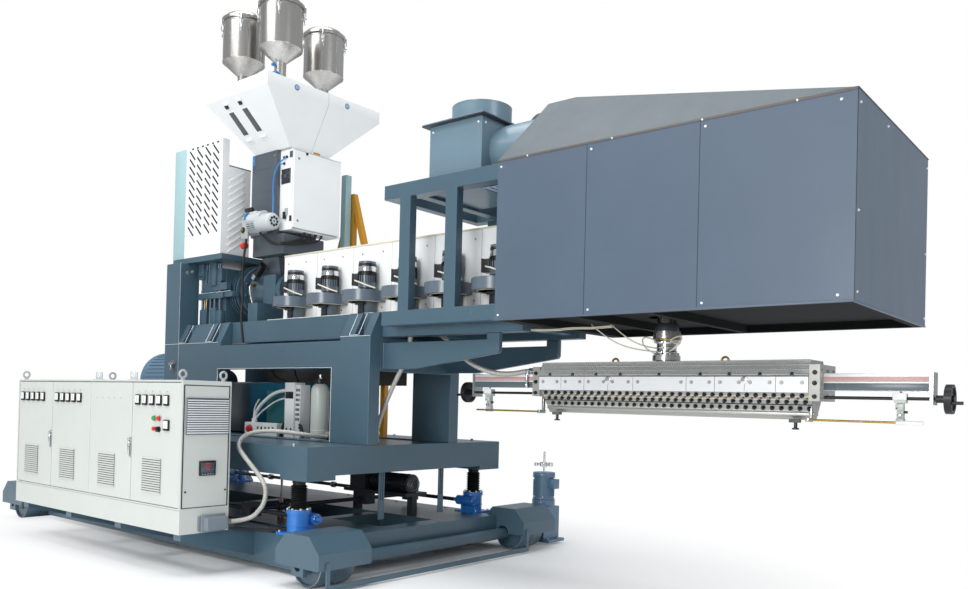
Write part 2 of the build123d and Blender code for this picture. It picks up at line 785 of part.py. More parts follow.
# Gearbox with its ribbed bell and the feed cone
with BuildPart() as gearbox:
    block(gearbox_left, gearbox_right, -gearbox_half_width, gearbox_half_width, bed_top, gearbox_top)
    for side in (-1, 1):
        y0, y1 = sorted((side * gearbox_half_width, side * (gearbox_half_width + 50)))
        block(gearbox_left + 20, gearbox_right + 70, y0, y1, barrel_height + 10, barrel_height + 80)
        block(gearbox_left + 20, gearbox_left + 110, y0, y1, bed_top, bed_top + 125)
        block(gearbox_right - 110, gearbox_right - 30, y0, y1, bed_top, bed_top + 125)
        block(gearbox_left + 20, gearbox_left + 110, y0, y1, gearbox_top - 120, gearbox_top)
        block(gearbox_right - 110, gearbox_right - 10, y0, y1, gearbox_top - 120, gearbox_top)
    cone_x(0, barrel_height, bell_radius, bell_radius - 2 * bell_taper, gearbox_right, bell_right - 24)
    rod_x(0, barrel_height, bell_radius, bell_right - 24, bell_right)
    for rib in range(4):
        rib_x = gearbox_right + 4 + rib * 36
        rod_x(0, barrel_height, bell_radius + bell_taper - rib * 4, rib_x, rib_x + 14)
    cone_x(0, barrel_height, bell_radius - 4 * bell_taper, cone_small_radius, bell_right, cone_right)
save(gearbox.part, "gearbox")

# Barrel with its feed section, which stands on the bed
with BuildPart() as barrel:
    block(cone_right, feed_right, -150.0, 150.0, barrel_height - feed_half_height,
          barrel_height + feed_half_height)
    block(cone_right + 20, feed_right - 20, -330.0, 330.0, bed_top, barrel_height - feed_half_height)
    rod_x(0, barrel_height, barrel_radius, feed_right, adapter_x + 120)
    rod_x(0, barrel_height, barrel_radius + 40, feed_right, feed_right + 60)
    rod_x(0, barrel_height, barrel_radius + 30, adapter_x + 72, adapter_x + 120)
save(barrel.part, "barrel")

blower_stations = [blower_first + index * blower_pitch for index in range(blower_count)]

# Long insulated cover over the barrel, open below and at both ends for the barrel
with BuildPart() as barrel_cover:
    block(cover_left, cover_right, -cover_half_width, cover_half_width, cover_base, cover_roof)
    block(cover_left + sheet, cover_right - sheet, -cover_half_width + sheet, cover_half_width - sheet,
          cover_base - 1, cover_roof - sheet, Mode.SUBTRACT)
    rod_x(0, barrel_height, barrel_radius + moving_gap, cover_left - 1, cover_right + 1, Mode.SUBTRACT)
    block(cover_left - 1, cover_right + 1, -barrel_radius - moving_gap, barrel_radius + moving_gap,
          cover_base - 1, barrel_height, Mode.SUBTRACT)
    for side in (-1, 1):
        y0, y1 = sorted((side * (bed_outer - 10), side * (cover_half_width - 40)))
        block(cover_left, cover_right, y0, y1, bed_top, cover_base)
    for x in blower_stations:
        rod_z(x, blower_y, blower_radius + rest_gap, blower_bottom - rest_gap,
              blower_bottom + blower_height + rest_gap, Mode.SUBTRACT)
save(barrel_cover.part, "barrel_cover")

# Barrel blowers: fan housings let into the cover's near wall, each with an upright motor and a foot
with BuildPart() as blowers:
    for x in blower_stations:
        rod_z(x, blower_y, blower_radius, blower_bottom, blower_bottom + blower_height)
        foot_x = x + foot_shift
        block(foot_x - 38, foot_x + 38, blower_y - 25, blower_y + 45, cover_base, blower_bottom)
        z0 = blower_bottom + blower_height
        motor_x = x + motor_shift
        rod_z(motor_x, blower_y, motor_radius - 16, z0, z0 + 26)
        rod_z(motor_x, blower_y, motor_radius, z0 + 26, motor_top)
        block(motor_x - motor_radius - 46, motor_x - motor_radius + 20, blower_y - 34, blower_y + 34,
              z0 + 56, z0 + 126)
save(blowers.part, "blowers")

# Top plate over the gearbox, with the perforated belt guard and its side panel
with BuildPart() as top_plate:
    block(top_plate_left, top_plate_right, -top_plate_half_width, top_plate_half_width,
          top_plate_bottom, top_plate_bottom + top_plate_thickness)
save(top_plate.part, "top_plate")

with BuildPart() as belt_guard:
    block(guard_left, guard_right, guard_front, guard_front + 70, guard_base, guard_top)
    block(guard_left - 1, guard_right - guard_sheet, guard_front + guard_sheet, guard_front + 71,
          guard_base - 1, guard_top - guard_sheet, Mode.SUBTRACT)
    block(guard_right - guard_sheet, guard_right, guard_front + 70, guard_front + guard_side_depth,
          guard_base, guard_side_top)
    block(guard_right - 60, guard_right - guard_sheet, guard_front + guard_side_depth - guard_sheet,
          guard_front + guard_side_depth, guard_base, guard_side_top)
    block(guard_strip_left, guard_left, guard_front + 10, guard_front + 60, guard_base, guard_top)
save(belt_guard.part, "belt_guard")

# Dosing tower: throat, base box and dark column
with BuildPart() as dosing_tower:
    block(dosing_base_left, dosing_base_right, -tower_half_width, tower_half_width,
          dosing_base_bottom, tower_bottom)
    frustum((throat_centre - throat_half_length, throat_centre + throat_half_length,
             -throat_half_width, throat_half_width, barrel_height + feed_half_height),
            (throat_centre - throat_half_length - 40, throat_centre + throat_half_length + 40,
             -throat_half_width - 60, throat_half_width + 60, dosing_base_bottom))
    block(tower_left, tower_right, -tower_half_width, tower_half_width, tower_bottom, tower_top)
save(dosing_tower.part, "dosing_tower")

# Control box on the tower's +X side, with its hinged door
box_mouth = box_right - box_door_thickness - door_gap
with BuildPart() as control_box:
    block(tower_right, box_mouth, box_front, box_back, box_bottom, box_top)
    block(tower_right + box_wall, box_mouth + 1, box_front + box_wall, box_back - box_wall,
          box_bottom + box_wall, box_top - box_wall, Mode.SUBTRACT)
    box_hinge_x = box_right - box_door_thickness / 2
    box_hinge_y = box_back - 12.0
    for z0, z1 in ((box_bottom, box_bottom + box_wall), (box_top - box_wall, box_top)):
        block(box_mouth, box_right, box_hinge_y - 12, box_back, z0, z1)
        rod_z(box_hinge_x, box_hinge_y, hinge_pin_radius + shaft_fit, z0 - 1, z1 + 1, Mode.SUBTRACT)
save(control_box.part, "control_box")

with BuildPart() as control_box_door:
    z0 = box_bottom + box_wall + door_gap
    z1 = box_top - box_wall - door_gap
    block(box_right - box_door_thickness, box_right, box_front, box_back - 2, z0, z1)
    corners = [edge for edge in control_box_door.edges().filter_by(Axis.Z)
               if abs(edge.center().Y - (box_back - 2)) < 1.0]
    fillet(corners, radius=box_door_thickness / 2 - 0.5)
    rod_z(box_hinge_x, box_hinge_y, hinge_pin_radius, z0 - hinge_pin_reach, z1 + hinge_pin_reach)
save(control_box_door.part, "control_box_door")

# Feeder gear-motor on the tower's near face
feeder_face = -tower_half_width
with BuildPart() as feeder_motor:
    block(feeder_x - 130, feeder_x - 20, feeder_face - 110, feeder_face, feeder_z - 120, feeder_z + 40)
    rod_x(feeder_face - 80, feeder_z, 66.0, feeder_x - 20, feeder_x + 120)
    rod_x(feeder_face - 80, feeder_z, 72.0, feeder_x + 120, feeder_x + 165)
    block(feeder_x + 10, feeder_x + 90, feeder_face - 50, feeder_face, feeder_z - 110, feeder_z - 40)
save(feeder_motor.part, "feeder_motor")

# Hopper: a pyramid shell with a deep rim and a lid plate
neck = (hopper_neck_left, hopper_neck_right, -hopper_neck_half_width, hopper_neck_half_width, tower_top)
rim = (hopper_centre - hopper_half_length, hopper_centre + hopper_half_length,
       -hopper_half_width, hopper_half_width, hopper_rim_bottom)
with BuildPart() as hopper:
    frustum(neck, rim)
    block(rim[0], rim[1], rim[2], rim[3], hopper_rim_bottom, hopper_rim_top - hopper_sheet)
    frustum(grow(*neck[:4], tower_top + hopper_sheet, -hopper_sheet),
            grow(*rim[:4], hopper_rim_bottom, -hopper_sheet), Mode.SUBTRACT)
    block(rim[0] + hopper_sheet, rim[1] - hopper_sheet, rim[2] + hopper_sheet, rim[3] - hopper_sheet,
          hopper_rim_bottom - 1, hopper_rim_top, Mode.SUBTRACT)
save(hopper.part, "hopper")

with BuildPart() as hopper_lid:
    block(rim[0], rim[1], rim[2], rim[3], hopper_rim_top - hopper_sheet, hopper_rim_top)
save(hopper_lid.part, "hopper_lid")

# Vacuum loaders: stainless shells with a cone, a short neck and a domed lid
loader_outer = loader_radius
loader_inner = loader_radius - loader_sheet
with BuildPart() as loader_bodies:
    for x, y in loader_places:
        rod_z(x, y, loader_neck_radius, hopper_rim_top, loader_cone_bottom)
        cone_z(x, y, loader_neck_radius, loader_outer, loader_cone_bottom, loader_body_bottom)
        rod_z(x, y, loader_outer, loader_body_bottom, loader_rim)
        rod_z(x, y, loader_neck_radius - loader_sheet, hopper_rim_top - 1, loader_cone_bottom, Mode.SUBTRACT)
        cone_z(x, y, loader_neck_radius - loader_sheet, loader_inner, loader_cone_bottom, loader_body_bottom,
               Mode.SUBTRACT)
        rod_z(x, y, loader_inner, loader_body_bottom, loader_rim + 1, Mode.SUBTRACT)
save(loader_bodies.part, "loader_bodies")

with BuildPart() as loader_lids:
    for x, y in loader_places:
        rod_z(x, y, loader_radius + 16, loader_rim, loader_rim + 22)
        cone_z(x, y, loader_radius - 8, loader_radius * 0.45, loader_rim + 22, loader_lid_top - 8)
        rod_z(x, y, loader_radius * 0.45, loader_lid_top - 8, loader_lid_top)
save(loader_lids.part, "loader_lids")

outlet_x = (duct_box_left + duct_box_right) / 2
outlet_y = (duct_box_front + duct_box_back) / 2

# Duct stand: welded tube frame between the bed and the hood
stand_inner = stand_outer - stand_tube
with BuildPart() as duct_stand:
    for side in (-1, 1):
        y0, y1 = sorted((side * stand_outer, side * stand_inner))
        block(stand_left, stand_right, y0, y1, stand_rail_bottom, stand_rail_top)
        block(stand_left, stand_right, y0, y1, stand_top - stand_tube, stand_top)
        y0, y1 = sorted((side * stand_outer, side * (stand_outer - stand_post_depth)))
        for x in stand_posts:
            block(x, x + stand_tube, y0, y1, stand_rail_top, stand_top - stand_tube)
            y2, y3 = sorted((side * stand_inner, side * bed_outer))
            block(x, x + stand_tube, y2, y3, stand_rail_bottom, stand_rail_top)
    for x in (stand_left, duct_box_left - stand_cross_width, duct_box_right):
        block(x, x + stand_cross_width, -stand_inner, stand_inner, stand_top - stand_tube, stand_top)
    rod_x(outlet_y, duct_height, duct_radius + rest_gap, duct_box_right - 1, stand_right, Mode.SUBTRACT)
    # Small fan motor on a post of the far rail, behind the round duct
    block(fan_motor_x - fan_post_width / 2, fan_motor_x + fan_post_width / 2, fan_post_front,
          fan_post_front + fan_post_width, stand_top, fan_motor_height)
    rod_y(fan_motor_x, fan_motor_height, fan_motor_radius, fan_motor_front, fan_post_front)
save(duct_stand.part, "duct_stand")

# Duct box hung between the cross beams, with the round duct that leads to the roof
with BuildPart() as duct_box:
    block(duct_box_left, duct_box_right, duct_box_front, duct_box_back, duct_box_bottom, duct_box_top)
    rod_x(outlet_y, duct_height, duct_radius, duct_box_right, duct_right)
    block(duct_box_left + duct_sheet, duct_box_right - duct_sheet, duct_box_front + duct_sheet,
          duct_box_back - duct_sheet, duct_box_bottom + duct_sheet, duct_box_top + 1, Mode.SUBTRACT)
    rod_x(outlet_y, duct_height, duct_radius - duct_sheet, duct_box_right - duct_sheet - 1, duct_right + 1,
          Mode.SUBTRACT)
save(duct_box.part, "duct_box")

flange_z = duct_box_top + 8
with BuildPart() as duct_outlet:
    block(duct_box_left - duct_flange, duct_box_right + duct_flange, duct_box_front - duct_flange,
          duct_box_back + duct_flange, duct_box_top, flange_z)
    rod_z(outlet_x, outlet_y, outlet_radius, flange_z, flange_z + outlet_height)
    rod_z(outlet_x, outlet_y, outlet_radius - duct_sheet, duct_box_top - 1, flange_z + outlet_height + 1,
          Mode.SUBTRACT)
save(duct_outlet.part, "duct_outlet")

# Hood frame of angles, inside the panels
frame_left = hood_left + hood_sheet
frame_right = hood_right - hood_sheet
frame_half = hood_half_width - hood_sheet
with BuildPart() as hood_frame:
    for z0 in (hood_bottom, hood_top - hood_angle):
        block(frame_left, frame_right, -frame_half, frame_half, z0, z0 + hood_angle)
        block(frame_left + hood_angle, frame_right - hood_angle, -frame_half + hood_angle,
              frame_half - hood_angle, z0 - 1, z0 + hood_angle + 1, Mode.SUBTRACT)
    for side in (-1, 1):
        y0, y1 = sorted((side * frame_half, side * (frame_half - hood_angle)))
        for x in (frame_left, *[seam - hood_angle / 2 for seam in hood_seams], frame_right - hood_angle):
            block(x, x + hood_angle, y0, y1, hood_bottom + hood_angle, hood_top - hood_angle)
    for x in (frame_left + hood_angle, *hood_cross_bars):
        block(x, x + hood_angle, -frame_half + hood_angle, frame_half - hood_angle,
              hood_bottom, hood_bottom + hood_angle)
save(hood_frame.part, "hood_frame")

# Hood side panels, three a side, and the end panel, screwed to the frame
panel_edges = (hood_left, *hood_seams, hood_right)
with BuildPart() as hood_panels:
    for side in (-1, 1):
        y0, y1 = sorted((side * hood_half_width, side * frame_half))
        for x0, x1 in zip(panel_edges[:-1], panel_edges[1:]):
            block(x0 + panel_gap / 2, x1 - panel_gap / 2, y0, y1, hood_bottom, hood_top)
    block(frame_right, hood_right, -frame_half + rest_gap, frame_half - rest_gap, hood_bottom, hood_top)
save(hood_panels.part, "hood_panels")

# The left wall is cut for the barrel cover and the barrel
with BuildPart() as hood_left_wall:
    block(hood_left, frame_left, -frame_half + rest_gap, frame_half - rest_gap, hood_bottom, hood_top)
    block(hood_left - 1, frame_left + 1, -cover_half_width, cover_half_width, hood_bottom - 1,
          cover_roof, Mode.SUBTRACT)
save(hood_left_wall.part, "hood_left_wall")

# Hipped roof with a small level top, cut for the round duct
roof_base = (hood_left, hood_right, -hood_half_width, hood_half_width, hood_top)
roof_apex = (apex_left, apex_right, -apex_half_width, apex_half_width, hood_apex)
with BuildPart() as hood_roof:
    frustum(roof_base, roof_apex)
    frustum(grow(*roof_base[:4], hood_top - 1, -2 * hood_sheet),
            grow(*roof_apex[:4], hood_apex - hood_sheet, -hood_sheet), Mode.SUBTRACT)
    rod_x(outlet_y, duct_height, duct_radius + rest_gap, hood_left - 10, duct_right + 60, Mode.SUBTRACT)
save(hood_roof.part, "hood_roof")

# Dark floor panel under the hood, with the hole for the melt pipe
with BuildPart() as hood_floor:
    block(frame_left + hood_angle, frame_right - hood_angle, -frame_half + hood_angle,
          frame_half - hood_angle, hood_bottom + hood_angle, hood_bottom + hood_angle + hood_sheet)
    rod_z(adapter_x, 0, adapter_flange_radius + 30, hood_bottom, hood_bottom + 2 * hood_angle, Mode.SUBTRACT)
save(hood_floor.part, "hood_floor")

# Melt pipe from the barrel down to the die
die_mat_top = die_top + mat_height
with BuildPart() as melt_pipe:
    rod_z(adapter_x, 0, adapter_radius, die_top, barrel_height - barrel_radius * 0.6)
    rod_z(adapter_x, 0, adapter_flange_radius, die_mat_top + 10, die_mat_top + 42)
    flange_top = hood_bottom - adapter_flange_drop
    rod_z(adapter_x, 0, adapter_flange_radius, flange_top - adapter_flange, flange_top)
    rod_x(0, barrel_height, barrel_radius + shaft_fit, adapter_x - 300, adapter_x + 300, Mode.SUBTRACT)
save(melt_pipe.part, "melt_pipe")

# Flat die: body, lips, heater plates, end blocks and the insulating mat
with BuildPart() as die_body:
    profile_x(((-die_half_width, die_top), (-die_half_width, die_shoulder),
               (-die_lip_half_width, die_lip_top), (-6.0, die_lip_bottom), (6.0, die_lip_bottom),
               (die_lip_half_width, die_lip_top), (die_half_width, die_shoulder),
               (die_half_width, die_top)), die_left, die_right)
    for x0, x1 in ((die_left - die_end_length, die_left), (die_right, die_right + die_end_length)):
        block(x0, x1, -die_half_width - 20, die_half_width + 20, die_end_bottom, die_top + die_end_rise)
save(die_body.part, "die_body")

# The plate under the melt pipe is two pitches long, the others one
heater_steps = (0, 1, 2, 3, 4, 6, 7, 8, 9, 10)
heater_edges = [die_left + step * heater_pitch for step in heater_steps]
with BuildPart() as die_heaters:
    for side in (-1, 1):
        y0, y1 = sorted((side * die_half_width, side * (die_half_width + heater_thickness)))
        for x0, x1 in zip(heater_edges[:-1], heater_edges[1:]):
            block(x0 + 1.5, x1 - 1.5, y0, y1, die_shoulder, die_top)
save(die_heaters.part, "die_heaters")

with BuildPart() as die_mat:
    mat_half = die_half_width + heater_thickness
    profile_x(((-mat_half, die_top), (mat_half, die_top), (mat_half - 40, die_mat_top),
               (-mat_half + 40, die_mat_top)), die_left, die_right)
    rod_z(adapter_x, 0, adapter_radius + rest_gap, die_top - 1, die_mat_top + 1, Mode.SUBTRACT)
save(die_mat.part, "die_mat")

# Deckle rails on both ends, each with a ruler face, an end plate and a screw
with BuildPart() as deckle_rails:
    for near_x, far_x in ((die_right + die_end_length, rail_right_end), (die_left - die_end_length, rail_left_end)):
        x0, x1 = sorted((near_x, far_x))
        block(x0, x1, rail_front, rail_back, rail_bottom, rail_top)
        outward = 1 if far_x > near_x else -1
        x0, x1 = sorted((far_x, far_x + outward * end_plate_thickness))
        block(x0, x1, rail_front - 6, rail_back + 30, end_plate_bottom, rail_top + 6)
        rod_x(deckle_rod_y, deckle_rod_height, deckle_rod_radius + shaft_fit, x0 - 1, x1 + 1, Mode.SUBTRACT)
save(deckle_rails.part, "deckle_rails")

# Handwheels, each on its deckle screw
for wheel_name, near_x, far_x in (("right_deckle_handwheel", die_right + die_end_length, rail_right_end),
                                  ("left_deckle_handwheel", die_left - die_end_length, rail_left_end)):
    outward = 1 if far_x > near_x else -1
    with BuildPart() as handwheel:
        hub = far_x + outward * (end_plate_thickness + moving_gap)
        disc = hub + outward * deckle_wheel_offset
        disc_end = disc + outward * deckle_wheel_width
        x0, x1 = sorted((disc, disc_end))
        rod_x(deckle_rod_y, deckle_rod_height, deckle_wheel_radius, x0, x1)
        rod_x(deckle_rod_y, deckle_rod_height, deckle_wheel_radius - 17, x0 - 1, x1 + 1, Mode.SUBTRACT)
        x0, x1 = sorted((disc + outward * 8, disc_end - outward * 8))
        rod_x(deckle_rod_y, deckle_rod_height, deckle_wheel_radius - 12, x0, x1)
        x0, x1 = sorted((hub, disc_end + outward * 6))
        rod_x(deckle_rod_y, deckle_rod_height, 20.0, x0, x1)
        x0, x1 = sorted((near_x + outward * rest_gap, disc_end))
        rod_x(deckle_rod_y, deckle_rod_height, deckle_rod_radius, x0, x1)
        x0, x1 = sorted((disc_end - outward * 14, hub + outward * deckle_handle_reach))
        rod_x(deckle_rod_y - 50, deckle_rod_height - 20, 9.0, x0, x1)
    save(handwheel.part, wheel_name)

# Deckle clamps: a nut block on the screw with the lip seal's holder below
for clamp_name, x in (("right_deckle_clamp", clamp_right), ("left_deckle_clamp", clamp_left)):
    with BuildPart() as clamp:
        block(x - clamp_half_length, x + clamp_half_length, deckle_rod_y - 26, deckle_rod_y + 26,
              deckle_rod_height - 24, clamp_top)
        block(x - 16, x + 16, deckle_rod_y - 18, deckle_rod_y + 18, clamp_bottom, deckle_rod_height - 24)
        rod_x(deckle_rod_y, deckle_rod_height, deckle_rod_radius + shaft_fit, x - 100, x + 100, Mode.SUBTRACT)
    save(clamp.part, clamp_name)

# Services seen through the window: accumulator, boxes, the dark tank and the conduit's joint box
with BuildPart() as accumulator:
    rod_z(accumulator_x, accumulator_y, accumulator_radius, lift_top, accumulator_shoulder)
    rod_z(accumulator_x, accumulator_y, accumulator_radius / 2, accumulator_shoulder, accumulator_valve)
    rod_z(accumulator_x, accumulator_y, accumulator_radius / 4, accumulator_valve, accumulator_top)
save(accumulator.part, "accumulator")

with BuildPart() as service_boxes:
    block(meter_box_left, perforated_box_right, -300.0, -180.0, lift_top, meter_box_top)
    block(switch_box_left, switch_box_right, -270.0, -180.0, lift_top, switch_box_top)
    block(tank_left, tank_right, -60.0, 330.0, lift_top, tank_top)
    block(joint_box_x - joint_box_half, joint_box_x + joint_box_half, joint_box_front,
          joint_box_front + joint_box_depth, lift_top, lift_top + joint_box_height)
save(service_boxes.part, "service_boxes")

# Teal mast and yellow braced frame on the far side of the deck
with BuildPart() as far_mast:
    block(mast_left, mast_left + mast_width, mast_y, mast_y + mast_width, lift_top, mast_top)
save(far_mast.part, "far_mast")

with BuildPart() as yellow_frame:
    y0 = frame_y
    y1 = frame_y + frame_depth
    post_right = frame_post_left + frame_tube
    block(frame_post_left, post_right, y0, y1, lift_top, frame_top)
    for side in (-1, 1):
        foot_left = frame_post_left + side * frame_spread
        foot_right = foot_left + frame_tube
        block(foot_left, foot_right, y0, y1, lift_top, frame_knee)
        profile_y(((foot_left, frame_knee), (foot_right, frame_knee), (post_right, frame_top),
                   (frame_post_left, frame_top)), y0, y1)
save(yellow_frame.part, "yellow_frame")

# Main motor behind the rear posts, on a raised bed
main_motor_right = side_plate_left - main_motor_gap
with BuildPart() as main_motor:
    rod_x(0, main_motor_height, main_motor_radius, main_motor_left, main_motor_right)
    rod_x(0, main_motor_height, main_motor_radius * 0.4, main_motor_right, gearbox_left)
    block(main_motor_left + 80, main_motor_right - 80, -main_motor_radius * 0.8, main_motor_radius * 0.8,
          lift_top, main_motor_height - main_motor_radius / 2)
save(main_motor.part, "main_motor")


def cord(points, radius, label):
    """A round cord of straight runs joined by tangent arcs, each arc as large as its runs allow."""
    runs = [Vector(*b) - Vector(*a) for a, b in zip(points[:-1], points[1:])]
    radii = []
    for before, after in zip(runs[:-1], runs[1:]):
        turn = math.radians(before.get_angle(after))
        radii.append(0.45 * min(before.length, after.length) / math.tan(turn / 2))
    with BuildPart() as tube:
        with BuildLine() as route:
            FilletPolyline(*points, radius=radii)
        with BuildSketch(Plane(origin=points[0], z_dir=runs[0])):
            Circle(radius)
        sweep(path=route.wires()[0])
    length = route.wires()[0].length
    print(label, "radii", [round(value) for value in radii],
          "volume over section times length", round(tube.part.volume / (math.pi * radius ** 2 * length), 4))
    save(tube.part, label)


# Metal conduit from the cable box, up beside the lift frame and over the window's sill to the joint box
conduit_points = (
    (gland_x, gland_end, gland_height),
    (gland_x, -1300.0, gland_height),
    (1491.0, -1244.0, 379.0),
    (1543.0, -1214.0, 403.0),
    (1594.0, -1212.0, 441.0),
    (1650.0, -1211.0, 491.0),
    (1680.0, -1210.0, 555.0),
    (1674.0, -1209.0, 627.0),
    (1622.0, -1208.0, 688.0),
    (1512.0, -1206.0, 760.0),
    (1405.0, -1204.0, 832.0),
    (1325.0, -1202.0, 890.0),
    (1291.0, -1176.0, 935.0),
    (1277.0, -1132.0, 972.0),
    (1284.0, -1079.0, 997.0),
    (1316.0, -1022.0, 1012.0),
    (1368.0, -966.0, 1019.0),
    (1430.0, -888.0, 1015.0),
    (1484.0, -800.0, 1004.0),
    (1510.0, -710.0, 991.0),
    (1497.0, -628.0, 980.0),
    (1460.0, -563.0, 971.0),
    (1415.0, -510.0, 967.0),
    (joint_box_x, -458.0, 966.0),
    (joint_box_x, joint_box_front, 966.0),
)
cord(conduit_points, conduit_radius, "control_conduit")

# Convoluted hose from a bed tie, hanging below the cantilever arms, to the die's left end
die_hose_points = (
    (tie_stations[3] + bed_tie_width, -200.0, 1815.0),
    (2340.0, -200.0, 1815.0),
    (2440.0, -200.0, 1780.0),
    (2540.0, -200.0, 1705.0),
    (2640.0, -199.0, 1617.0),
    (2740.0, -192.0, 1553.0),
    (2850.0, -174.0, 1509.0),
    (2960.0, -146.0, 1486.0),
    (3060.0, -116.0, 1488.0),
    (3140.0, -98.0, 1503.0),
    (3190.0, -94.0, 1507.0),
    (die_left - die_end_length, -94.0, 1507.0),
)
cord(die_hose_points, hose_radius, "die_hose")

# Braided hose from the bed beam, down behind the front column to the deck
column_hose_points = (
    (2228.0, -322.0, bed_bottom),
    (2228.0, -322.0, 1700.0),
    (2205.0, -318.0, 1630.0),
    (2160.0, -312.0, 1560.0),
    (2105.0, -306.0, 1490.0),
    (2052.0, -300.0, 1415.0),
    (2002.0, -298.0, 1335.0),
    (1953.0, -296.0, 1250.0),
    (1908.0, -296.0, 1160.0),
    (1873.0, -296.0, 1070.0),
    (1858.0, -296.0, 995.0),
    (1858.0, -296.0, lift_top),
)
cord(column_hose_points, hose_radius, "column_hose")
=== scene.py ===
import math
import random

import bpy
from mathutils import Matrix, Vector


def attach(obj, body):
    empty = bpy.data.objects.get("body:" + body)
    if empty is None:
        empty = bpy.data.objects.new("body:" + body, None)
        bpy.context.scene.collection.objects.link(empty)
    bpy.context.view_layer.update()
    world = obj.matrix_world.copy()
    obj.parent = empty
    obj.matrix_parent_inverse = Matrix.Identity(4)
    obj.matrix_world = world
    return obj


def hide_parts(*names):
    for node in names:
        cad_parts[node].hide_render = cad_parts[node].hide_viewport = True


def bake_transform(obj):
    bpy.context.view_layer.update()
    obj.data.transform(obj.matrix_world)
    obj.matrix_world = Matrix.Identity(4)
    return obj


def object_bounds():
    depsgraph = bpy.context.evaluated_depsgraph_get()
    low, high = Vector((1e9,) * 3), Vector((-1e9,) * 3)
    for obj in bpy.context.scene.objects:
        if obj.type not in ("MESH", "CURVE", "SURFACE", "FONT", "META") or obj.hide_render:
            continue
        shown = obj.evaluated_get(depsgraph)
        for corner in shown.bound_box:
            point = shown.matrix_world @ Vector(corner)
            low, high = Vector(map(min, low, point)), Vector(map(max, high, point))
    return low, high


random.seed(7)
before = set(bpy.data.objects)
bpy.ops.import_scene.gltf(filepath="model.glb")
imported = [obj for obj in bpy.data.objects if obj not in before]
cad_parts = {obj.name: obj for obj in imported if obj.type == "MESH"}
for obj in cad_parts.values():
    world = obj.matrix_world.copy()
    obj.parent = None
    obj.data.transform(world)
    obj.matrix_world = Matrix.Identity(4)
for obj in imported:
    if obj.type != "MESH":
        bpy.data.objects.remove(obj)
cadLow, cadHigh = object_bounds()
print("frame loaded")

view = {"place": (6.7171, -4.9871, 1.275), "yaw": 0.693511, "pitch": 0.0091201, "roll": 0.0247848,
        "focalPixels": 849.181, "pictureWidth": 968, "pictureHeight": 589, "centre": (470.757, 394.693)}

paints = {"frame": "#445e6d", "hood": "#4f5f71", "roof": "#33454e", "duct": "#6a8392", "cabinet": "#cbcfca",
          "white": "#f5f7f7", "dark": "#2a3037", "teal": "#a4c6ca", "yellow": "#c98f1c", "jack": "#2a78cc",
          "box": "#7d8790"}


# Colours and shader maths

def linear(text):
    values = [int(text[i:i + 2], 16) / 255 for i in (1, 3, 5)]
    return tuple(v / 12.92 if v <= 0.04045 else ((v + 0.055) / 1.055) ** 2.4 for v in values) + (1.0,)


class Wire:
    # one output socket, with operators that add Math nodes
    def __init__(self, sheet, socket):
        self.sheet = sheet
        self.socket = socket

    def maths(self, operation, other, swap=False):
        a, b = (other, self) if swap else (self, other)
        return self.sheet.node("ShaderNodeMath", {"operation": operation}, {0: a, 1: b})

    def __add__(self, other):
        return self.maths("ADD", other)

    def __radd__(self, other):
        return self.maths("ADD", other, True)

    def __sub__(self, other):
        return self.maths("SUBTRACT", other)

    def __rsub__(self, other):
        return self.maths("SUBTRACT", other, True)

    def __mul__(self, other):
        return self.maths("MULTIPLY", other)

    def __rmul__(self, other):
        return self.maths("MULTIPLY", other, True)

    def clipped(self):
        return self.sheet.node("ShaderNodeClamp", {}, {"Value": self}, "Result")


class Sheet:
    # the node tree of one material
    def __init__(self, name):
        self.material = bpy.data.materials.new(name)
        self.material.use_nodes = True
        self.tree = self.material.node_tree
        self.shader = self.tree.nodes["Principled BSDF"]
        self.place = self.node("ShaderNodeTexCoord", {}, {}, "Object")

    def node(self, kind, settings, values, output=0):
        made = self.tree.nodes.new(kind)
        for key, value in settings.items():
            if key == "stops":
                ramp = made.color_ramp
                while len(ramp.elements) < len(value):
                    ramp.elements.new(0.5)
                for element, (position, colour) in zip(ramp.elements, value):
                    element.position = position
                    element.color = colour
            else:
                setattr(made, key, value)
        for key, value in values.items():
            self.feed(made.inputs[key], value)
        return Wire(self, made.outputs[output])

    def feed(self, socket, value):
        if isinstance(value, Wire):
            self.tree.links.new(value.socket, socket)
        else:
            socket.default_value = value

    def put(self, **values):
        for name, value in values.items():
            self.feed(self.shader.inputs[name.replace("_", " ")], value)
        return self.material

    def stretched(self, scale, turn=(0, 0, 0)):
        return self.node("ShaderNodeMapping", {}, {"Vector": self.place, "Scale": scale, "Rotation": turn})

    def noise(self, scale, detail=3.0, rough=0.5, along=None):
        place = along if along else self.place
        return self.node("ShaderNodeTexNoise", {}, {"Vector": place, "Scale": scale, "Detail": detail,
                                                    "Roughness": rough}, "Fac")

    def blend(self, factor, first, second):
        made = self.tree.nodes.new("ShaderNodeMix")
        made.data_type = "RGBA"
        self.feed(made.inputs["Factor"], factor)
        self.feed(made.inputs[6], first)
        self.feed(made.inputs[7], second)
        return Wire(self, made.outputs[2])

    def bump(self, height, strength, distance):
        return self.node("ShaderNodeBump", {}, {"Height": height, "Strength": strength, "Distance": distance})


def shade(colour, factor):
    return tuple(min(1.0, v * factor) for v in colour[:3]) + (1.0,)


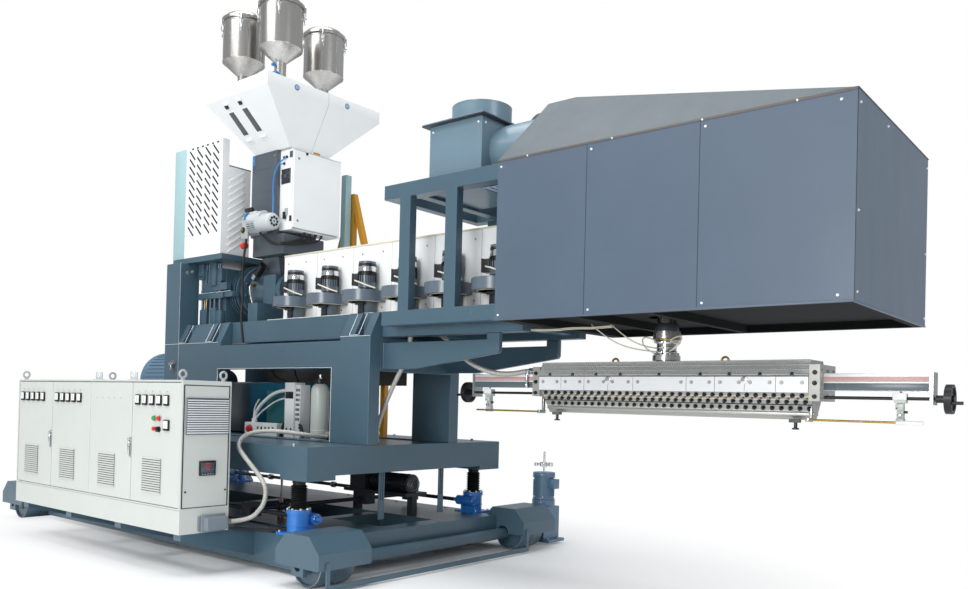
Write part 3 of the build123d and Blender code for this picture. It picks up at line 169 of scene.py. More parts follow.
def enamel(name, colour, gloss=0.36, peel=0.06, coat=0.25, wear=0.1):
    # sprayed machine enamel: cloudy tone, orange peel, faint dusty runs and scuffs
    sheet = Sheet(name)
    base = linear(colour)
    cloud = sheet.noise(1.7, 4, 0.6)
    dust = sheet.noise(7.0, 6, 0.7, sheet.stretched((1, 1, 0.25)))
    scuff = (sheet.noise(38.0, 3, 0.6, sheet.stretched((1, 1, 0.15))) - 0.68) * 7.0
    tone = sheet.blend((cloud * 1.6 - 0.3).clipped(), shade(base, 0.93), shade(base, 1.07))
    tone = sheet.blend(((dust - 0.55) * wear * 4.0).clipped(), tone, shade(base, 1.35))
    tone = sheet.blend((scuff.clipped()) * wear, tone, (0.62, 0.64, 0.65, 1))
    peelHeight = sheet.noise(260.0, 2, 0.5) + sheet.noise(60.0, 2, 0.5) * 0.6
    sheet.shader.inputs["Coat Roughness"].default_value = 0.25
    return sheet.put(Base_Color=tone, Roughness=dust * 0.18 + (gloss - 0.09), Coat_Weight=coat,
                     Normal=sheet.bump(peelHeight, peel, 0.002))


def powderCoat(name, colour, gloss=0.45, grain=0.12):
    # textured powder coat: fine hammered grain, tone nearly even, soft grime in vertical smears
    sheet = Sheet(name)
    base = linear(colour)
    cloud = sheet.noise(2.3, 4, 0.6)
    speck = sheet.noise(420.0, 2, 0.6)
    tone = sheet.blend((cloud * 1.5 - 0.25).clipped(), shade(base, 0.955), shade(base, 1.03))
    tone = sheet.blend(((speck - 0.62) * 2.0).clipped() * 0.1, tone, shade(base, 0.7))
    smear = sheet.noise(5.0, 6, 0.72, sheet.stretched((1, 1, 0.2)))
    tone = sheet.blend(((smear - 0.56) * 1.2).clipped() * 0.5, tone, shade(base, 0.86))
    return sheet.put(Base_Color=tone, Roughness=speck * 0.12 + (gloss - 0.06), Coat_Weight=0.12,
                     Normal=sheet.bump(speck, grain, 0.0006))


def bareMetal(name, colour, rough=0.28, lines=(220, 220, 12), streak=0.35, metal=1.0):
    # machined or brushed metal: fine lines one way, uneven polish, light stains
    sheet = Sheet(name)
    base = linear(colour)
    brush = sheet.noise(1.0, 4, 0.7, sheet.stretched(lines))
    band = sheet.noise(1.0, 3, 0.6, sheet.stretched(tuple(v * 0.12 for v in lines)))
    stain = sheet.noise(9.0, 5, 0.7)
    tone = sheet.blend((band * 1.8 - 0.4).clipped() * streak, base, shade(base, 0.45))
    tone = sheet.blend(((stain - 0.6) * 2.5).clipped() * 0.4, tone, shade(base, 0.7))
    return sheet.put(Base_Color=tone, Metallic=metal, Roughness=brush * 0.22 + (rough - 0.1),
                     Normal=sheet.bump(brush, 0.1, 0.0006))


def moulded(name, colour, rough=0.4, grain=0.08):
    # moulded plastic or rubber: fine grain, slightly dusty high spots
    sheet = Sheet(name)
    base = linear(colour)
    grains = sheet.noise(330.0, 3, 0.6)
    dust = sheet.noise(14.0, 5, 0.7)
    tone = sheet.blend(((dust - 0.45) * 1.6).clipped() * 0.35, base, shade(base, 1.9))
    return sheet.put(Base_Color=tone, Roughness=dust * 0.2 + (rough - 0.1),
                     Normal=sheet.bump(grains, grain, 0.0008))


def braid(name, colour, cell=150.0, metal=0.7, dark=0.4):
    # woven wire: two crossing sets of strands, with painted shade in the gaps between them
    sheet = Sheet(name)
    base = linear(colour)
    sets = []
    for turn in (0.78, -0.78):
        along = sheet.stretched((cell, cell * 0.9, cell), (turn, 0.5 * turn, turn))
        sets.append(sheet.node("ShaderNodeTexWave", {"wave_type": "BANDS", "bands_direction": "X"},
                               {"Vector": along, "Scale": 1.0, "Distortion": 0.6, "Detail": 1.0}, "Fac"))
    weaveWithGapShade = sets[0].maths("MAXIMUM", sets[1])
    worn = sheet.noise(6.0, 4, 0.6)
    # the gaps between strands are darkened as painted shade, and the strands are made a little lighter
    tone = sheet.blend(weaveWithGapShade, shade(base, dark), shade(base, 1.15))
    tone = sheet.blend((worn * 1.6 - 0.4).clipped() * 0.35, tone, shade(base, 0.6))
    return sheet.put(Base_Color=tone, Metallic=metal, Roughness=0.42, Normal=sheet.bump(weaveWithGapShade, 0.5, 0.0012))


def darkGlass(name, colour, rough=0.12):
    sheet = Sheet(name)
    base = linear(colour)
    smear = sheet.noise(30.0, 4, 0.6)
    return sheet.put(Base_Color=sheet.blend(smear * 0.5, base, shade(base, 1.8)),
                     Roughness=smear * 0.1 + rough, Coat_Weight=0.6)


finish = {
    "frame": enamel("frameEnamel", paints["frame"]),
    "hood": enamel("hoodEnamel", paints["hood"], gloss=0.42, peel=0.03, coat=0.15, wear=0.03),
    "roof": enamel("roofEnamel", paints["roof"], gloss=0.45, peel=0.03, coat=0.1, wear=0.03),
    "duct": enamel("ductEnamel", paints["duct"], gloss=0.32, peel=0.03, coat=0.3, wear=0.05),
    "teal": enamel("tealEnamel", paints["teal"], gloss=0.4, wear=0.05),
    "yellow": enamel("yellowEnamel", paints["yellow"], gloss=0.38, wear=0.12),
    "jack": enamel("jackEnamel", paints["jack"], gloss=0.33, peel=0.15, coat=0.35, wear=0.1),
    "box": enamel("hammerGrey", paints["box"], gloss=0.4, peel=0.3, wear=0.05),
    "dark": enamel("darkEnamel", paints["dark"], gloss=0.42, coat=0.15, wear=0.06),
    "cabinet": powderCoat("cabinetCoat", paints["cabinet"]),
    "white": powderCoat("whiteCoat", paints["white"], gloss=0.38, grain=0.05),
    "steel": bareMetal("machinedSteel", "#b9bcbd"),
    "stainless": bareMetal("polishedStainless", "#d2d0cc", rough=0.24, lines=(60, 60, 0.5), streak=0.85),
    "chrome": bareMetal("chrome", "#dfe1e3", rough=0.16, lines=(80, 80, 80), streak=0.2),
    "brass": bareMetal("brass", "#b9964c", rough=0.3),
    "cast": enamel("castAluminium", "#c4cacd", gloss=0.45, peel=0.3, coat=0.1, wear=0.08),
    "die": bareMetal("dieSteel", "#b9b8b3", rough=0.36, lines=(8, 160, 160), streak=0.25, metal=0.6),
    "plates": bareMetal("heaterPlates", "#eef0f1", rough=0.38, lines=(6, 120, 120), streak=0.08, metal=0.35),
    "black": moulded("blackPlastic", "#16181a", rough=0.36),
    "rubber": moulded("blackRubber", "#121314", rough=0.55, grain=0.2),
    "red": moulded("redPlastic", "#d8271f", rough=0.33),
    "redCable": moulded("redCable", "#c63a30", rough=0.45),
    "green": moulded("greenLamp", "#3f9d54", rough=0.25),
    "blue": moulded("bluePlastic", "#2b7fc4", rough=0.35),
    "greyCable": moulded("greyCable", "#a7abab", rough=0.5),
    "cream": moulded("creamCable", "#d8d3bf", rough=0.5),
    "glass": darkGlass("meterGlass", "#39424c"),
    "smoked": darkGlass("sightGlass", "#3b403c", rough=0.25),
    "mat": braid("wovenMat", "#cfd1cf", cell=220.0, metal=0.25, dark=0.42),
    "hose": braid("braidedHose", "#cfccc6", cell=420.0, metal=0.5, dark=0.6),
    "grey": enamel("bottleGrey", "#c3cbc4", gloss=0.35, wear=0.12),
    "slate": enamel("slateEnamel", "#4a535c", gloss=0.4, wear=0.06),
    # near-black painted shade for the hood's underside: its frame and floor stand for the shade under the
    # hood
    "shade": enamel("hoodUndersidePaintedShade", "#020304", gloss=1.0, coat=0.0, wear=0.0),
    "tank": enamel("tankEnamel", "#1e5c75", gloss=0.22, peel=0.04, coat=0.5, wear=0.1),
    "tealDark": enamel("pumpTeal", "#1f6a70", gloss=0.35, wear=0.1),
    "drive": enamel("driveEnamel", "#56758e", gloss=0.34, peel=0.12, coat=0.3, wear=0.1),
    "tray": enamel("trayLilac", "#a3b1ca", gloss=0.4, wear=0.05),
    "flange": enamel("sealingStrip", "#5f5a58", gloss=0.5, peel=0.4, coat=0.0, wear=0.35),
    "ruler": moulded("rulerStrip", "#c9a6a2", rough=0.35, grain=0.02),
    "railShade": enamel("railShade", "#5d6a72", gloss=0.3, wear=0.05),
    "fan": enamel("fanGrey", "#5d6a76", gloss=0.3, coat=0.3, wear=0.05),
    "dusty": enamel("dustyPlate", "#4d4a44", gloss=0.6, peel=0.5, coat=0.0, wear=0.9),
}
print("materials made:", len(finish))


# Modelling helpers: everything is made in place with operators, then its transform is applied

def deselect():
    if bpy.context.object and bpy.context.object.mode == "EDIT":
        bpy.ops.object.mode_set(mode="OBJECT")
    bpy.ops.object.select_all(action="DESELECT")


def only(piece):
    deselect()
    piece.select_set(True)
    bpy.context.view_layer.objects.active = piece


def applyPlace(piece):
    only(piece)
    bpy.ops.object.transform_apply(location=True, rotation=True, scale=True)
    return piece


def applyAll(piece):
    only(piece)
    for modifier in list(piece.modifiers):
        bpy.ops.object.modifier_apply(modifier=modifier.name)
    return piece


sharpAngle = 0.6


def eased(piece, width, segments=2):
    # a bevel on the sharp edges, so they catch the light
    bevel = piece.modifiers.new("edges", "BEVEL")
    bevel.width = width
    bevel.segments = segments
    bevel.limit_method = "ANGLE"
    bevel.angle_limit = sharpAngle
    applyAll(piece)
    return piece


def smooth(piece, angle=sharpAngle):
    only(piece)
    bpy.ops.object.shade_smooth_by_angle(angle=angle)
    return piece


def coat(piece, material):
    piece.data.materials.clear()
    piece.data.materials.append(finish[material])
    return piece


def slab(low, high, material, edge=0.002, segments=2):
    # a plate or box between two corners, with eased edges
    deselect()
    bpy.ops.mesh.primitive_cube_add(size=1, location=[(a + b) / 2 for a, b in zip(low, high)])
    piece = bpy.context.object
    piece.scale = [abs(b - a) for a, b in zip(low, high)]
    applyPlace(piece)
    if edge:
        eased(piece, min(edge, 0.45 * min(abs(b - a) for a, b in zip(low, high))), segments)
    return coat(smooth(piece), material)


turns = {"x": (0, math.pi / 2, 0), "y": (math.pi / 2, 0, 0), "z": (0, 0, 0)}


def drum(centre, radius, length, axis, material, edge=0.002, sides=40):
    # a round piece about one axis
    deselect()
    bpy.ops.mesh.primitive_cylinder_add(vertices=sides, radius=radius, depth=length, location=centre,
                                        rotation=turns[axis])
    piece = applyPlace(bpy.context.object)
    if edge:
        eased(piece, min(edge, 0.4 * length, 0.4 * radius), 2)
    return coat(smooth(piece), material)


def ring(centre, radius, thickness, axis, material, around=32, across=10):
    deselect()
    bpy.ops.mesh.primitive_torus_add(major_radius=radius, minor_radius=thickness, major_segments=around,
                                     minor_segments=across, location=centre, rotation=turns[axis])
    piece = applyPlace(bpy.context.object)
    return coat(smooth(piece, 1.2), material)


def lathe(profile, centre, material, steps=48, axis="z"):
    # a turned piece from (radius, height) points, closed at both ends on the axis
    deselect()
    bpy.ops.mesh.primitive_plane_add(size=1, location=(0, 0, 0))
    piece = bpy.context.object
    bpy.ops.object.mode_set(mode="EDIT")
    bpy.ops.mesh.delete(type="VERT")
    bpy.ops.object.mode_set(mode="OBJECT")
    points = [(0, profile[0][1])] + list(profile) + [(0, profile[-1][1])]
    piece.data.from_pydata([(r, 0, h) for r, h in points], [(i, i + 1) for i in range(len(points) - 1)], [])
    only(piece)
    bpy.ops.object.mode_set(mode="EDIT")
    bpy.ops.mesh.select_all(action="SELECT")
    bpy.ops.mesh.spin(steps=steps, angle=2 * math.pi, center=(0, 0, 0), axis=(0, 0, 1))
    bpy.ops.mesh.select_all(action="SELECT")
    bpy.ops.mesh.remove_doubles(threshold=0.00005)
    bpy.ops.mesh.normals_make_consistent(inside=False)
    bpy.ops.object.mode_set(mode="OBJECT")
    piece.rotation_euler = turns[axis]
    piece.location = centre
    applyPlace(piece)
    return coat(smooth(piece, 0.7), material)


def hank(points, radius, material, name="line", order=3, resolution=6):
    # a wire, cable or bent rod, as a smooth curve with a round section
    curve = bpy.data.curves.new(name, "CURVE")
    curve.dimensions = "3D"
    curve.bevel_depth = radius
    curve.bevel_resolution = 2
    curve.resolution_u = resolution
    spline = curve.splines.new("NURBS")
    spline.points.add(len(points) - 1)
    for point, place in zip(spline.points, points):
        point.co = (*place, 1)
    spline.order_u = order
    spline.use_endpoint_u = True
    curve.use_fill_caps = True
    piece = bpy.data.objects.new(name, curve)
    bpy.context.collection.objects.link(piece)
    piece.data.materials.append(finish[material])
    return piece


def wire(points, radius, material, order=3):
    piece = hank(points, radius, material, order=order)
    only(piece)
    bpy.ops.object.convert(target="MESH")
    return smooth(bpy.context.object, 1.2)


def moved(piece, offset):
    # a copy with its own mesh, set over by an offset
    twin = piece.copy()
    twin.data = piece.data.copy()
    bpy.context.collection.objects.link(twin)
    twin.data.transform(Matrix.Translation(offset))
    return twin


def repeated(piece, offsets):
    return [piece] + [moved(piece, offset) for offset in offsets]


def joined(parts, name):
    deselect()
    for part in parts:
        part.select_set(True)
    bpy.context.view_layer.objects.active = parts[0]
    if len(parts) > 1:
        bpy.ops.object.join()
    piece = bpy.context.object
    piece.name = name
    piece.data.name = name
    return piece


def settle(piece, body, slot, *nodes):
    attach(piece, body)
    if nodes:
        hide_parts(*nodes)
    return piece


def dressed(node, body, slot, material, width=0.003, segments=2):
    # a copy of a CAD node with merged faces and eased edges stands for it
    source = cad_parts[node]
    twin = source.copy()
    twin.data = source.data.copy()
    twin.parent = None
    twin.matrix_world = Matrix.Identity(4)
    bpy.context.collection.objects.link(twin)
    twin.name = node + "Dressed"
    only(twin)
    bpy.ops.object.mode_set(mode="EDIT")
    bpy.ops.mesh.select_all(action="SELECT")
    bpy.ops.mesh.remove_doubles(threshold=0.00002)
    bpy.ops.mesh.dissolve_limited(angle_limit=0.01)
    bpy.ops.object.mode_set(mode="OBJECT")
    eased(twin, width, segments)
    coat(smooth(twin), material)
    weigh = twin.modifiers.new("flat", "WEIGHTED_NORMAL")
    weigh.keep_sharp = True
    applyAll(twin)
    return settle(twin, body, slot, node)


def boltHead(radius, height, material):
    # a hexagon head on its washer, standing on z = 0
    deselect()
    bpy.ops.mesh.primitive_cylinder_add(vertices=14, radius=radius * 1.35, depth=height * 0.3,
                                        location=(0, 0, height * 0.15))
    washer = applyPlace(bpy.context.object)
    deselect()
    bpy.ops.mesh.primitive_cylinder_add(vertices=6, radius=radius, depth=height * 0.75,
                                        location=(0, 0, height * 0.65))
    head = applyPlace(bpy.context.object)
    piece = joined([washer, head], "bolt")
    return coat(smooth(piece, 0.5), material)


def facing(piece, direction, place):
    # turns a piece that stands on z = 0 to face a direction, at a place
    turn = Vector((0, 0, 1)).rotation_difference(Vector(direction)).to_matrix().to_4x4()
    twin = piece.copy()
    twin.data = piece.data.copy()
    bpy.context.collection.objects.link(twin)
    twin.data.transform(Matrix.Translation(place) @ turn)
    return twin


def discard(piece):
    bpy.data.objects.remove(piece, do_unlink=True)


# Camera

def rowCamera():
    yaw, pitch, roll = view["yaw"], view["pitch"], view["roll"]
    ahead = Vector((-math.sin(yaw) * math.cos(pitch), math.cos(yaw) * math.cos(pitch), math.sin(pitch)))
    right = Vector((math.cos(yaw), math.sin(yaw), 0))
    up = right.cross(ahead)
    side = right * math.cos(roll) + up * math.sin(roll)
    top = up * math.cos(roll) - right * math.sin(roll)
    data = bpy.data.cameras.new("photoCamera")
    data.sensor_width = 36
    data.lens = view["focalPixels"] * 36 / view["pictureWidth"]
    data.shift_x = (view["pictureWidth"] / 2 - view["centre"][0]) / view["pictureWidth"]
    data.shift_y = (view["centre"][1] - view["pictureHeight"] / 2) / view["pictureWidth"]
    data.clip_end = 200
    camera = bpy.data.objects.new("photoCamera", data)
    bpy.context.collection.objects.link(camera)
    turn = Matrix((side, top, -ahead)).transposed().to_4x4()
    camera.matrix_world = Matrix.Translation(view["place"]) @ turn
    bpy.context.scene.camera = camera


rowCamera()
print("camera set")


# Cords: the conduit from the cable box, and two braided hoses

conduitRoute = [(1.458, -1.366, 0.37), (1.458, -1.3, 0.37), (1.491, -1.244, 0.379), (1.543, -1.214, 0.403),
                (1.594, -1.212, 0.441), (1.65, -1.211, 0.491), (1.68, -1.21, 0.555), (1.674, -1.209, 0.627),
                (1.622, -1.208, 0.688), (1.512, -1.206, 0.76), (1.405, -1.204, 0.832), (1.325, -1.202, 0.89),
                (1.291, -1.176, 0.935), (1.277, -1.132, 0.972), (1.284, -1.079, 0.997),
                (1.316, -1.022, 1.012), (1.368, -0.966, 1.019), (1.43, -0.888, 1.015), (1.484, -0.8, 1.004),
                (1.51, -0.71, 0.991), (1.497, -0.628, 0.98), (1.46, -0.563, 0.971), (1.415, -0.51, 0.967),
                (1.395, -0.458, 0.966), (1.395, -0.4, 0.966)]
dieRoute = [(2.26, -0.2, 1.815), (2.34, -0.2, 1.815), (2.44, -0.2, 1.78), (2.54, -0.2, 1.705),
            (2.64, -0.199, 1.617), (2.74, -0.192, 1.553), (2.85, -0.174, 1.509), (2.96, -0.146, 1.486),
            (3.06, -0.116, 1.488), (3.14, -0.098, 1.503), (3.19, -0.094, 1.507), (3.247, -0.094, 1.507)]
columnRoute = [(2.228, -0.322, 1.762), (2.228, -0.322, 1.7), (2.205, -0.318, 1.63), (2.16, -0.312, 1.56),
               (2.105, -0.306, 1.49), (2.052, -0.3, 1.415), (2.002, -0.298, 1.335), (1.953, -0.296, 1.25),
               (1.908, -0.296, 1.16), (1.873, -0.296, 1.07), (1.858, -0.296, 0.995), (1.858, -0.296, 0.928)]


def routeLine(points):
    # the smooth line that a cord lies on, and its points
    line = hank(points, 0, "hose", "route", resolution=14)
    sampled = bpy.data.meshes.new_from_object(line)
    path = [tuple(vertex.co) for vertex in sampled.vertices]
    bpy.data.meshes.remove(sampled)
    return line, path


def corrugated(name, points, values):
    # one ridge is turned, repeated along the line and bent round it
    line, path = routeLine(points)
    deselect()
    bpy.ops.mesh.primitive_cylinder_add(vertices=16, radius=values["radius"] - values["groove"],
                                        depth=values["pitch"], end_fill_type="NOTHING",
                                        location=(values["pitch"] / 2, 0, 0), rotation=turns["x"])
    ridge = applyPlace(bpy.context.object)
    bpy.ops.object.mode_set(mode="EDIT")
    bpy.ops.mesh.select_all(action="SELECT")
    bpy.ops.mesh.subdivide(number_cuts=3)
    bpy.ops.object.mode_set(mode="OBJECT")
    for vertex in ridge.data.vertices:  # the middle stands out to the full radius
        share = abs(vertex.co.x / values["pitch"] - 0.5)
        across = Vector((0, vertex.co.y, vertex.co.z))
        if across.length > 0:
            reach = values["radius"] - (values["groove"] if share > 0.3 else 0)
            across *= reach / across.length
        vertex.co = Vector((vertex.co.x, across.y, across.z))
    array = ridge.modifiers.new("ridges", "ARRAY")
    array.fit_type = "FIT_CURVE"
    array.curve = line
    array.relative_offset_displace = (1, 0, 0)
    array.use_merge_vertices = True
    array.merge_threshold = 0.0003
    bend = ridge.modifiers.new("bend", "CURVE")
    bend.object = line
    applyAll(ridge)
    discard(line)
    ridge.name = name
    ridge.data.name = name
    coat(smooth(ridge, 1.0), values["finish"])
    return ridge, path


def lineLength(path):
    return sum((Vector(b) - Vector(a)).length for a, b in zip(path, path[1:]))


conduit, conduitPath = corrugated("controlConduit", conduitRoute,
                                  {"radius": 0.0168, "groove": 0.0022, "pitch": 0.0085, "finish": "hose"})
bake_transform(conduit)
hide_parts("control_conduit")
for name, route, node, pitch in (("dieHose", dieRoute, "die_hose", 0.0075),
                                 ("columnHose", columnRoute, "column_hose", 0.006)):
    hose, hosePath = corrugated(name, route, {"radius": 0.0178, "groove": 0.0016, "pitch": pitch,
                                              "finish": "hose"})
    settle(hose, "lift", "hose_grey", node)
    print(name, "length", round(lineLength(hosePath), 3))
print("cords laid, conduit length", round(lineLength(conduitPath), 3))


# Finishes of the CAD nodes

nodeFinish = {
    "frame": ("carriage_frame", "wheel_covers", "lift_frame", "side_plates", "bed_beams", "cantilever_arms",
              "gearbox", "top_plate", "duct_stand", "front_wheelset", "rear_wheelset", "barrel"),
    "cabinet": ("cabinet_shell", "cabinet_door_1", "cabinet_door_2", "cabinet_door_3", "cabinet_door_4"),
    "box": ("cabinet_fittings",),
    "white": ("barrel_cover", "belt_guard", "hopper", "hopper_lid", "control_box", "control_box_door"),
    "dark": ("lift_drive", "lift_shafts"),
    "fan": ("blowers",),
    "slate": ("dosing_tower",),
    "drive": ("main_motor", "travel_drive"),
    "jack": ("jack_housings",),
    "hood": ("hood_left_wall", "hood_panels"),
    # the hood's frame and floor carry the near-black painted shade
    "shade": ("hood_frame", "hood_floor"),
    "roof": ("hood_roof",),
    "duct": ("duct_box", "duct_outlet"),
    "teal": ("far_mast",),
    "yellow": ("yellow_frame",),
    "steel": ("jack_screws", "deckle_rails", "travel_handwheel"),
    "cast": ("feeder_motor",),
    "stainless": ("loader_bodies", "loader_lids", "melt_pipe"),
    "die": ("die_body",),
    "plates": ("die_heaters",),
    "mat": ("die_mat",),
    "black": ("left_deckle_handwheel", "right_deckle_handwheel"),
    "rubber": ("jack_bellows",),
    "grey": ("accumulator", "left_deckle_clamp", "right_deckle_clamp"),
}
for kind, names in nodeFinish.items():
    for name in names:
        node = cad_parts[name]
        node.data.materials.clear()
        node.data.materials.append(finish[kind])
unfinished = [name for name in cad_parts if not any(name in names for names in nodeFinish.values())]
print("nodes left with their packed finish:", unfinished)


# Stage: a pale floor that turns white away from the machine, and soft studio light

def floor():
    deselect()
    bpy.ops.mesh.primitive_plane_add(size=240, location=(0, 0, cadLow[2] - 0.0005))
    piece = applyPlace(bpy.context.object)
    piece.name = "floor"
    sheet = Sheet("paleFloor")
    tree = sheet.tree
    sheet.put(Base_Color=(0.93, 0.94, 0.95, 1), Roughness=0.75)
    away = sheet.node("ShaderNodeVectorMath", {"operation": "LENGTH"},
                      {0: sheet.node("ShaderNodeMapping", {},
                                     {"Vector": sheet.place, "Location": (-0.9, 0, 0),
                                      "Scale": (0.75, 1, 1)})}, "Value")
    fade = ((away - 1.4) * 0.55).clipped()
    seen = sheet.node("ShaderNodeLightPath", {}, {}, "Is Camera Ray")
    white = sheet.tree.nodes.new("ShaderNodeEmission")
    white.inputs["Color"].default_value = (1, 1, 1, 1)
    white.inputs["Strength"].default_value = 1.0
    mix = tree.nodes.new("ShaderNodeMixShader")
    sheet.feed(mix.inputs[0], fade * seen)
    tree.links.new(sheet.shader.outputs[0], mix.inputs[1])
    tree.links.new(white.outputs[0], mix.inputs[2])
    tree.links.new(mix.outputs[0], tree.nodes["Material Output"].inputs["Surface"])
    piece.data.materials.append(sheet.material)


def backdrop():
    world = bpy.data.worlds.new("studio")
    bpy.context.scene.world = world
    world.use_nodes = True
    tree = world.node_tree
    tree.nodes.clear()
    path = tree.nodes.new("ShaderNodeLightPath")
    soft = tree.nodes.new("ShaderNodeBackground")
    soft.inputs["Color"].default_value = (0.94, 0.97, 1.0, 1)
    soft.inputs["Strength"].default_value = 0.5
    white = tree.nodes.new("ShaderNodeBackground")
    white.inputs["Color"].default_value = (1, 1, 1, 1)
    mix = tree.nodes.new("ShaderNodeMixShader")
    out = tree.nodes.new("ShaderNodeOutputWorld")
    tree.links.new(path.outputs["Is Camera Ray"], mix.inputs[0])
    tree.links.new(soft.outputs[0], mix.inputs[1])
    tree.links.new(white.outputs[0], mix.inputs[2])
    tree.links.new(mix.outputs[0], out.inputs[0])


def softbox(name, place, target, size, power, colour=(1, 1, 1)):
    data = bpy.data.lights.new(name, "AREA")
    data.shape = "RECTANGLE"
    data.size, data.size_y = size
    data.energy = power
    data.color = colour
    light = bpy.data.objects.new(name, data)
    bpy.context.collection.objects.link(light)
    light.location = place
    light.rotation_euler = (Vector(target) - Vector(place)).to_track_quat("-Z", "Y").to_euler()


floor()
backdrop()
softbox("keyLight", (0.0, -8.5, 10.0), (1.5, 0, 1.8), (7, 3.5), 500, (1, 0.99, 0.97))
softbox("fillLight", (4.6, -11.5, 3.2), (1.0, 0, 1.8), (3.5, 2.5), 430)
softbox("topLight", (1.5, -1.0, 10.5), (1.5, 0, 1.5), (8, 6), 520)
softbox("endLight", (11.5, -1.0, 5.5), (4.5, 0, 2.2), (3, 3), 175, (0.95, 0.98, 1))
bpy.context.scene.view_settings.view_transform = "Standard"
print("stage set")


# Pieces that stand for CAD nodes with eased edges, so that they catch the light

dressing = {"lift": {"side_plates": ("frame_paint", "frame", 0.006),
                     "lift_frame": ("frame_paint", "frame", 0.006),
                     "bed_beams": ("frame_paint", "frame", 0.006),
                     "cantilever_arms": ("frame_paint", "frame", 0.005),
                     "duct_stand": ("frame_paint", "frame", 0.007),
                     "top_plate": ("frame_paint", "frame", 0.004), "hopper": ("white_paint", "white", 0.004),
                     "control_box": ("white_paint", "white", 0.006),
                     "duct_box": ("duct_paint", "duct", 0.003), "far_mast": ("teal_paint", "teal", 0.004),
                     "yellow_frame": ("yellow_paint", "yellow", 0.003),
                     "dosing_tower": ("dark_paint", "slate", 0.005)},
            "carriage": {"carriage_frame": ("frame_paint", "frame", 0.004),
                         "wheel_covers": ("frame_paint", "frame", 0.008),
                         "cabinet_shell": ("cabinet_paint", "cabinet", 0.004),
                         "jack_housings": ("jack_blue", "jack", 0.005)}}
for body, nodes in dressing.items():
    for node, (slotName, kind, width) in nodes.items():
        dressed(node, body, slotName, kind, width)
for count in range(1, 5):
    dressed(f"cabinet_door_{count}", f"door_{count}", "cabinet_paint", "cabinet", 0.003)
print("frame, boxes and doors dressed")


# Electrical cabinet

doorRights = {1: -0.566, 2: 0.087, 3: 0.741, 4: 1.394}
cabinet = {"front": -1.733, "meterTop": 1.274, "meterSize": (0.06, 0.077), "meterStep": 0.097,
           "louvreLow": 0.563, "louvreHigh": 0.823, "louvreWidth": 0.274, "slats": 15,
           "handleLow": 0.822, "handleHigh": 0.934}
meterRows = {1: -1.126, 2: -0.47, 4: 0.829}
louvreLefts = {1: -1.077, 2: -0.416, 3: 0.238, 4: 0.896}


def meter(x, top, wide, tall):
    # a panel meter: black rim, white scale, glass and a needle
    front = cabinet["front"]
    body = slab((x - wide / 2, front - 0.014, top - tall), (x + wide / 2, front, top), "black", 0.003)
    scale = slab((x - wide * 0.38, front - 0.0165, top - tall * 0.8),
                 (x + wide * 0.4, front - 0.012, top - tall * 0.1), "white", 0.001)
    low = slab((x - wide * 0.38, front - 0.0175, top - tall * 0.97),
               (x + wide * 0.4, front - 0.012, top - tall * 0.83), "black", 0.001)
    needle = drum((x + wide * 0.02, front - 0.0172, top - tall * 0.45), 0.0012, tall * 0.5, "z", "black", 0,
                  6)
    return [body, scale, low, needle]


def louvre(x, z, wide, tall, slats, place, material):
    # punched slats that stand out over a black sheet painted as the shade in the slots, on a face at y =
    # place
    parts = [slab((x, place - 0.0025, z), (x + wide, place, z + tall), material, 0.0015)]
    step = tall / slats
    # black sheet behind the slats: painted shade in the slots
    back = slab((x + 0.008, place - 0.003, z + 0.006), (x + wide - 0.008, place - 0.0022, z + tall - 0.006),
                "black", 0)
    deselect()
    bpy.ops.mesh.primitive_cube_add(size=1, location=(x + wide / 2, place - 0.007, z + step * 0.5))
    slat = bpy.context.object
    slat.scale = (wide - 0.014, 0.0018, step * 0.74)
    slat.rotation_euler = (-0.42, 0, 0)
    coat(smooth(eased(applyPlace(slat), 0.0008, 1)), material)
    return parts + [back] + repeated(slat, [(0, 0, step * n) for n in range(1, slats)])


def pullHandle(x, low, high, place):
    # chrome swing handle with a lock barrel, on its base plate
    return [slab((x - 0.013, place - 0.006, low - 0.012), (x + 0.013, place, high + 0.02), "steel", 0.004, 3),
            slab((x - 0.009, place - 0.02, low), (x + 0.009, place - 0.008, high - 0.006), "chrome", 0.0045,
                 3), drum((x, place - 0.012, high + 0.006), 0.01, 0.022, "y", "chrome", 0.002, 20)]


def doorParts(count):
    right = doorRights[count]
    front = cabinet["front"]
    wide, tall = cabinet["meterSize"]
    parts = []
    if count in meterRows:
        for place in range(5):
            parts += meter(meterRows[count] + place * cabinet["meterStep"], cabinet["meterTop"], wide, tall)
            parts.append(drum((meterRows[count] + place * cabinet["meterStep"], front - 0.001, 1.3), 0.004,
                              0.004, "y", "greyCable", 0, 10))
    parts += louvre(louvreLefts[count], cabinet["louvreLow"], cabinet["louvreWidth"],
                    cabinet["louvreHigh"] - cabinet["louvreLow"], cabinet["slats"], front, "cabinet")
    if count == 3:
        parts += [drum((x, front - 0.001, 1.243), 0.004, 0.004, "y", "greyCable", 0, 10)
                  for x in (0.2, 0.29, 0.38, 0.47, 0.56)]
    if count in (1, 3):
        parts += pullHandle(right - 0.015, cabinet["handleLow"], cabinet["handleHigh"], front)
    if count == 4:
        for x, z, kind in ((1.062, 1.105, "green"), (1.128, 1.105, "red")):
            parts += [drum((x, front - 0.004, z), 0.021, 0.008, "y", "steel", 0.002, 24),
                      drum((x, front - 0.013, z), 0.017, 0.018, "y", kind, 0.005, 24)]
        parts += [drum((1.062, front - 0.01, 1.03), 0.014, 0.02, "y", "red", 0.003, 20),
                  drum((1.122, front - 0.004, 1.028), 0.021, 0.01, "y", "black", 0.002, 24),
                  slab((1.111, front - 0.026, 1.009), (1.133, front - 0.006, 1.047), "black", 0.004)]
        parts += meter(1.224, 1.098, 0.07, 0.077)
    joinedParts = joined(parts, f"doorFittings{count}")
    return settle(joinedParts, f"door_{count}", "dark_paint")


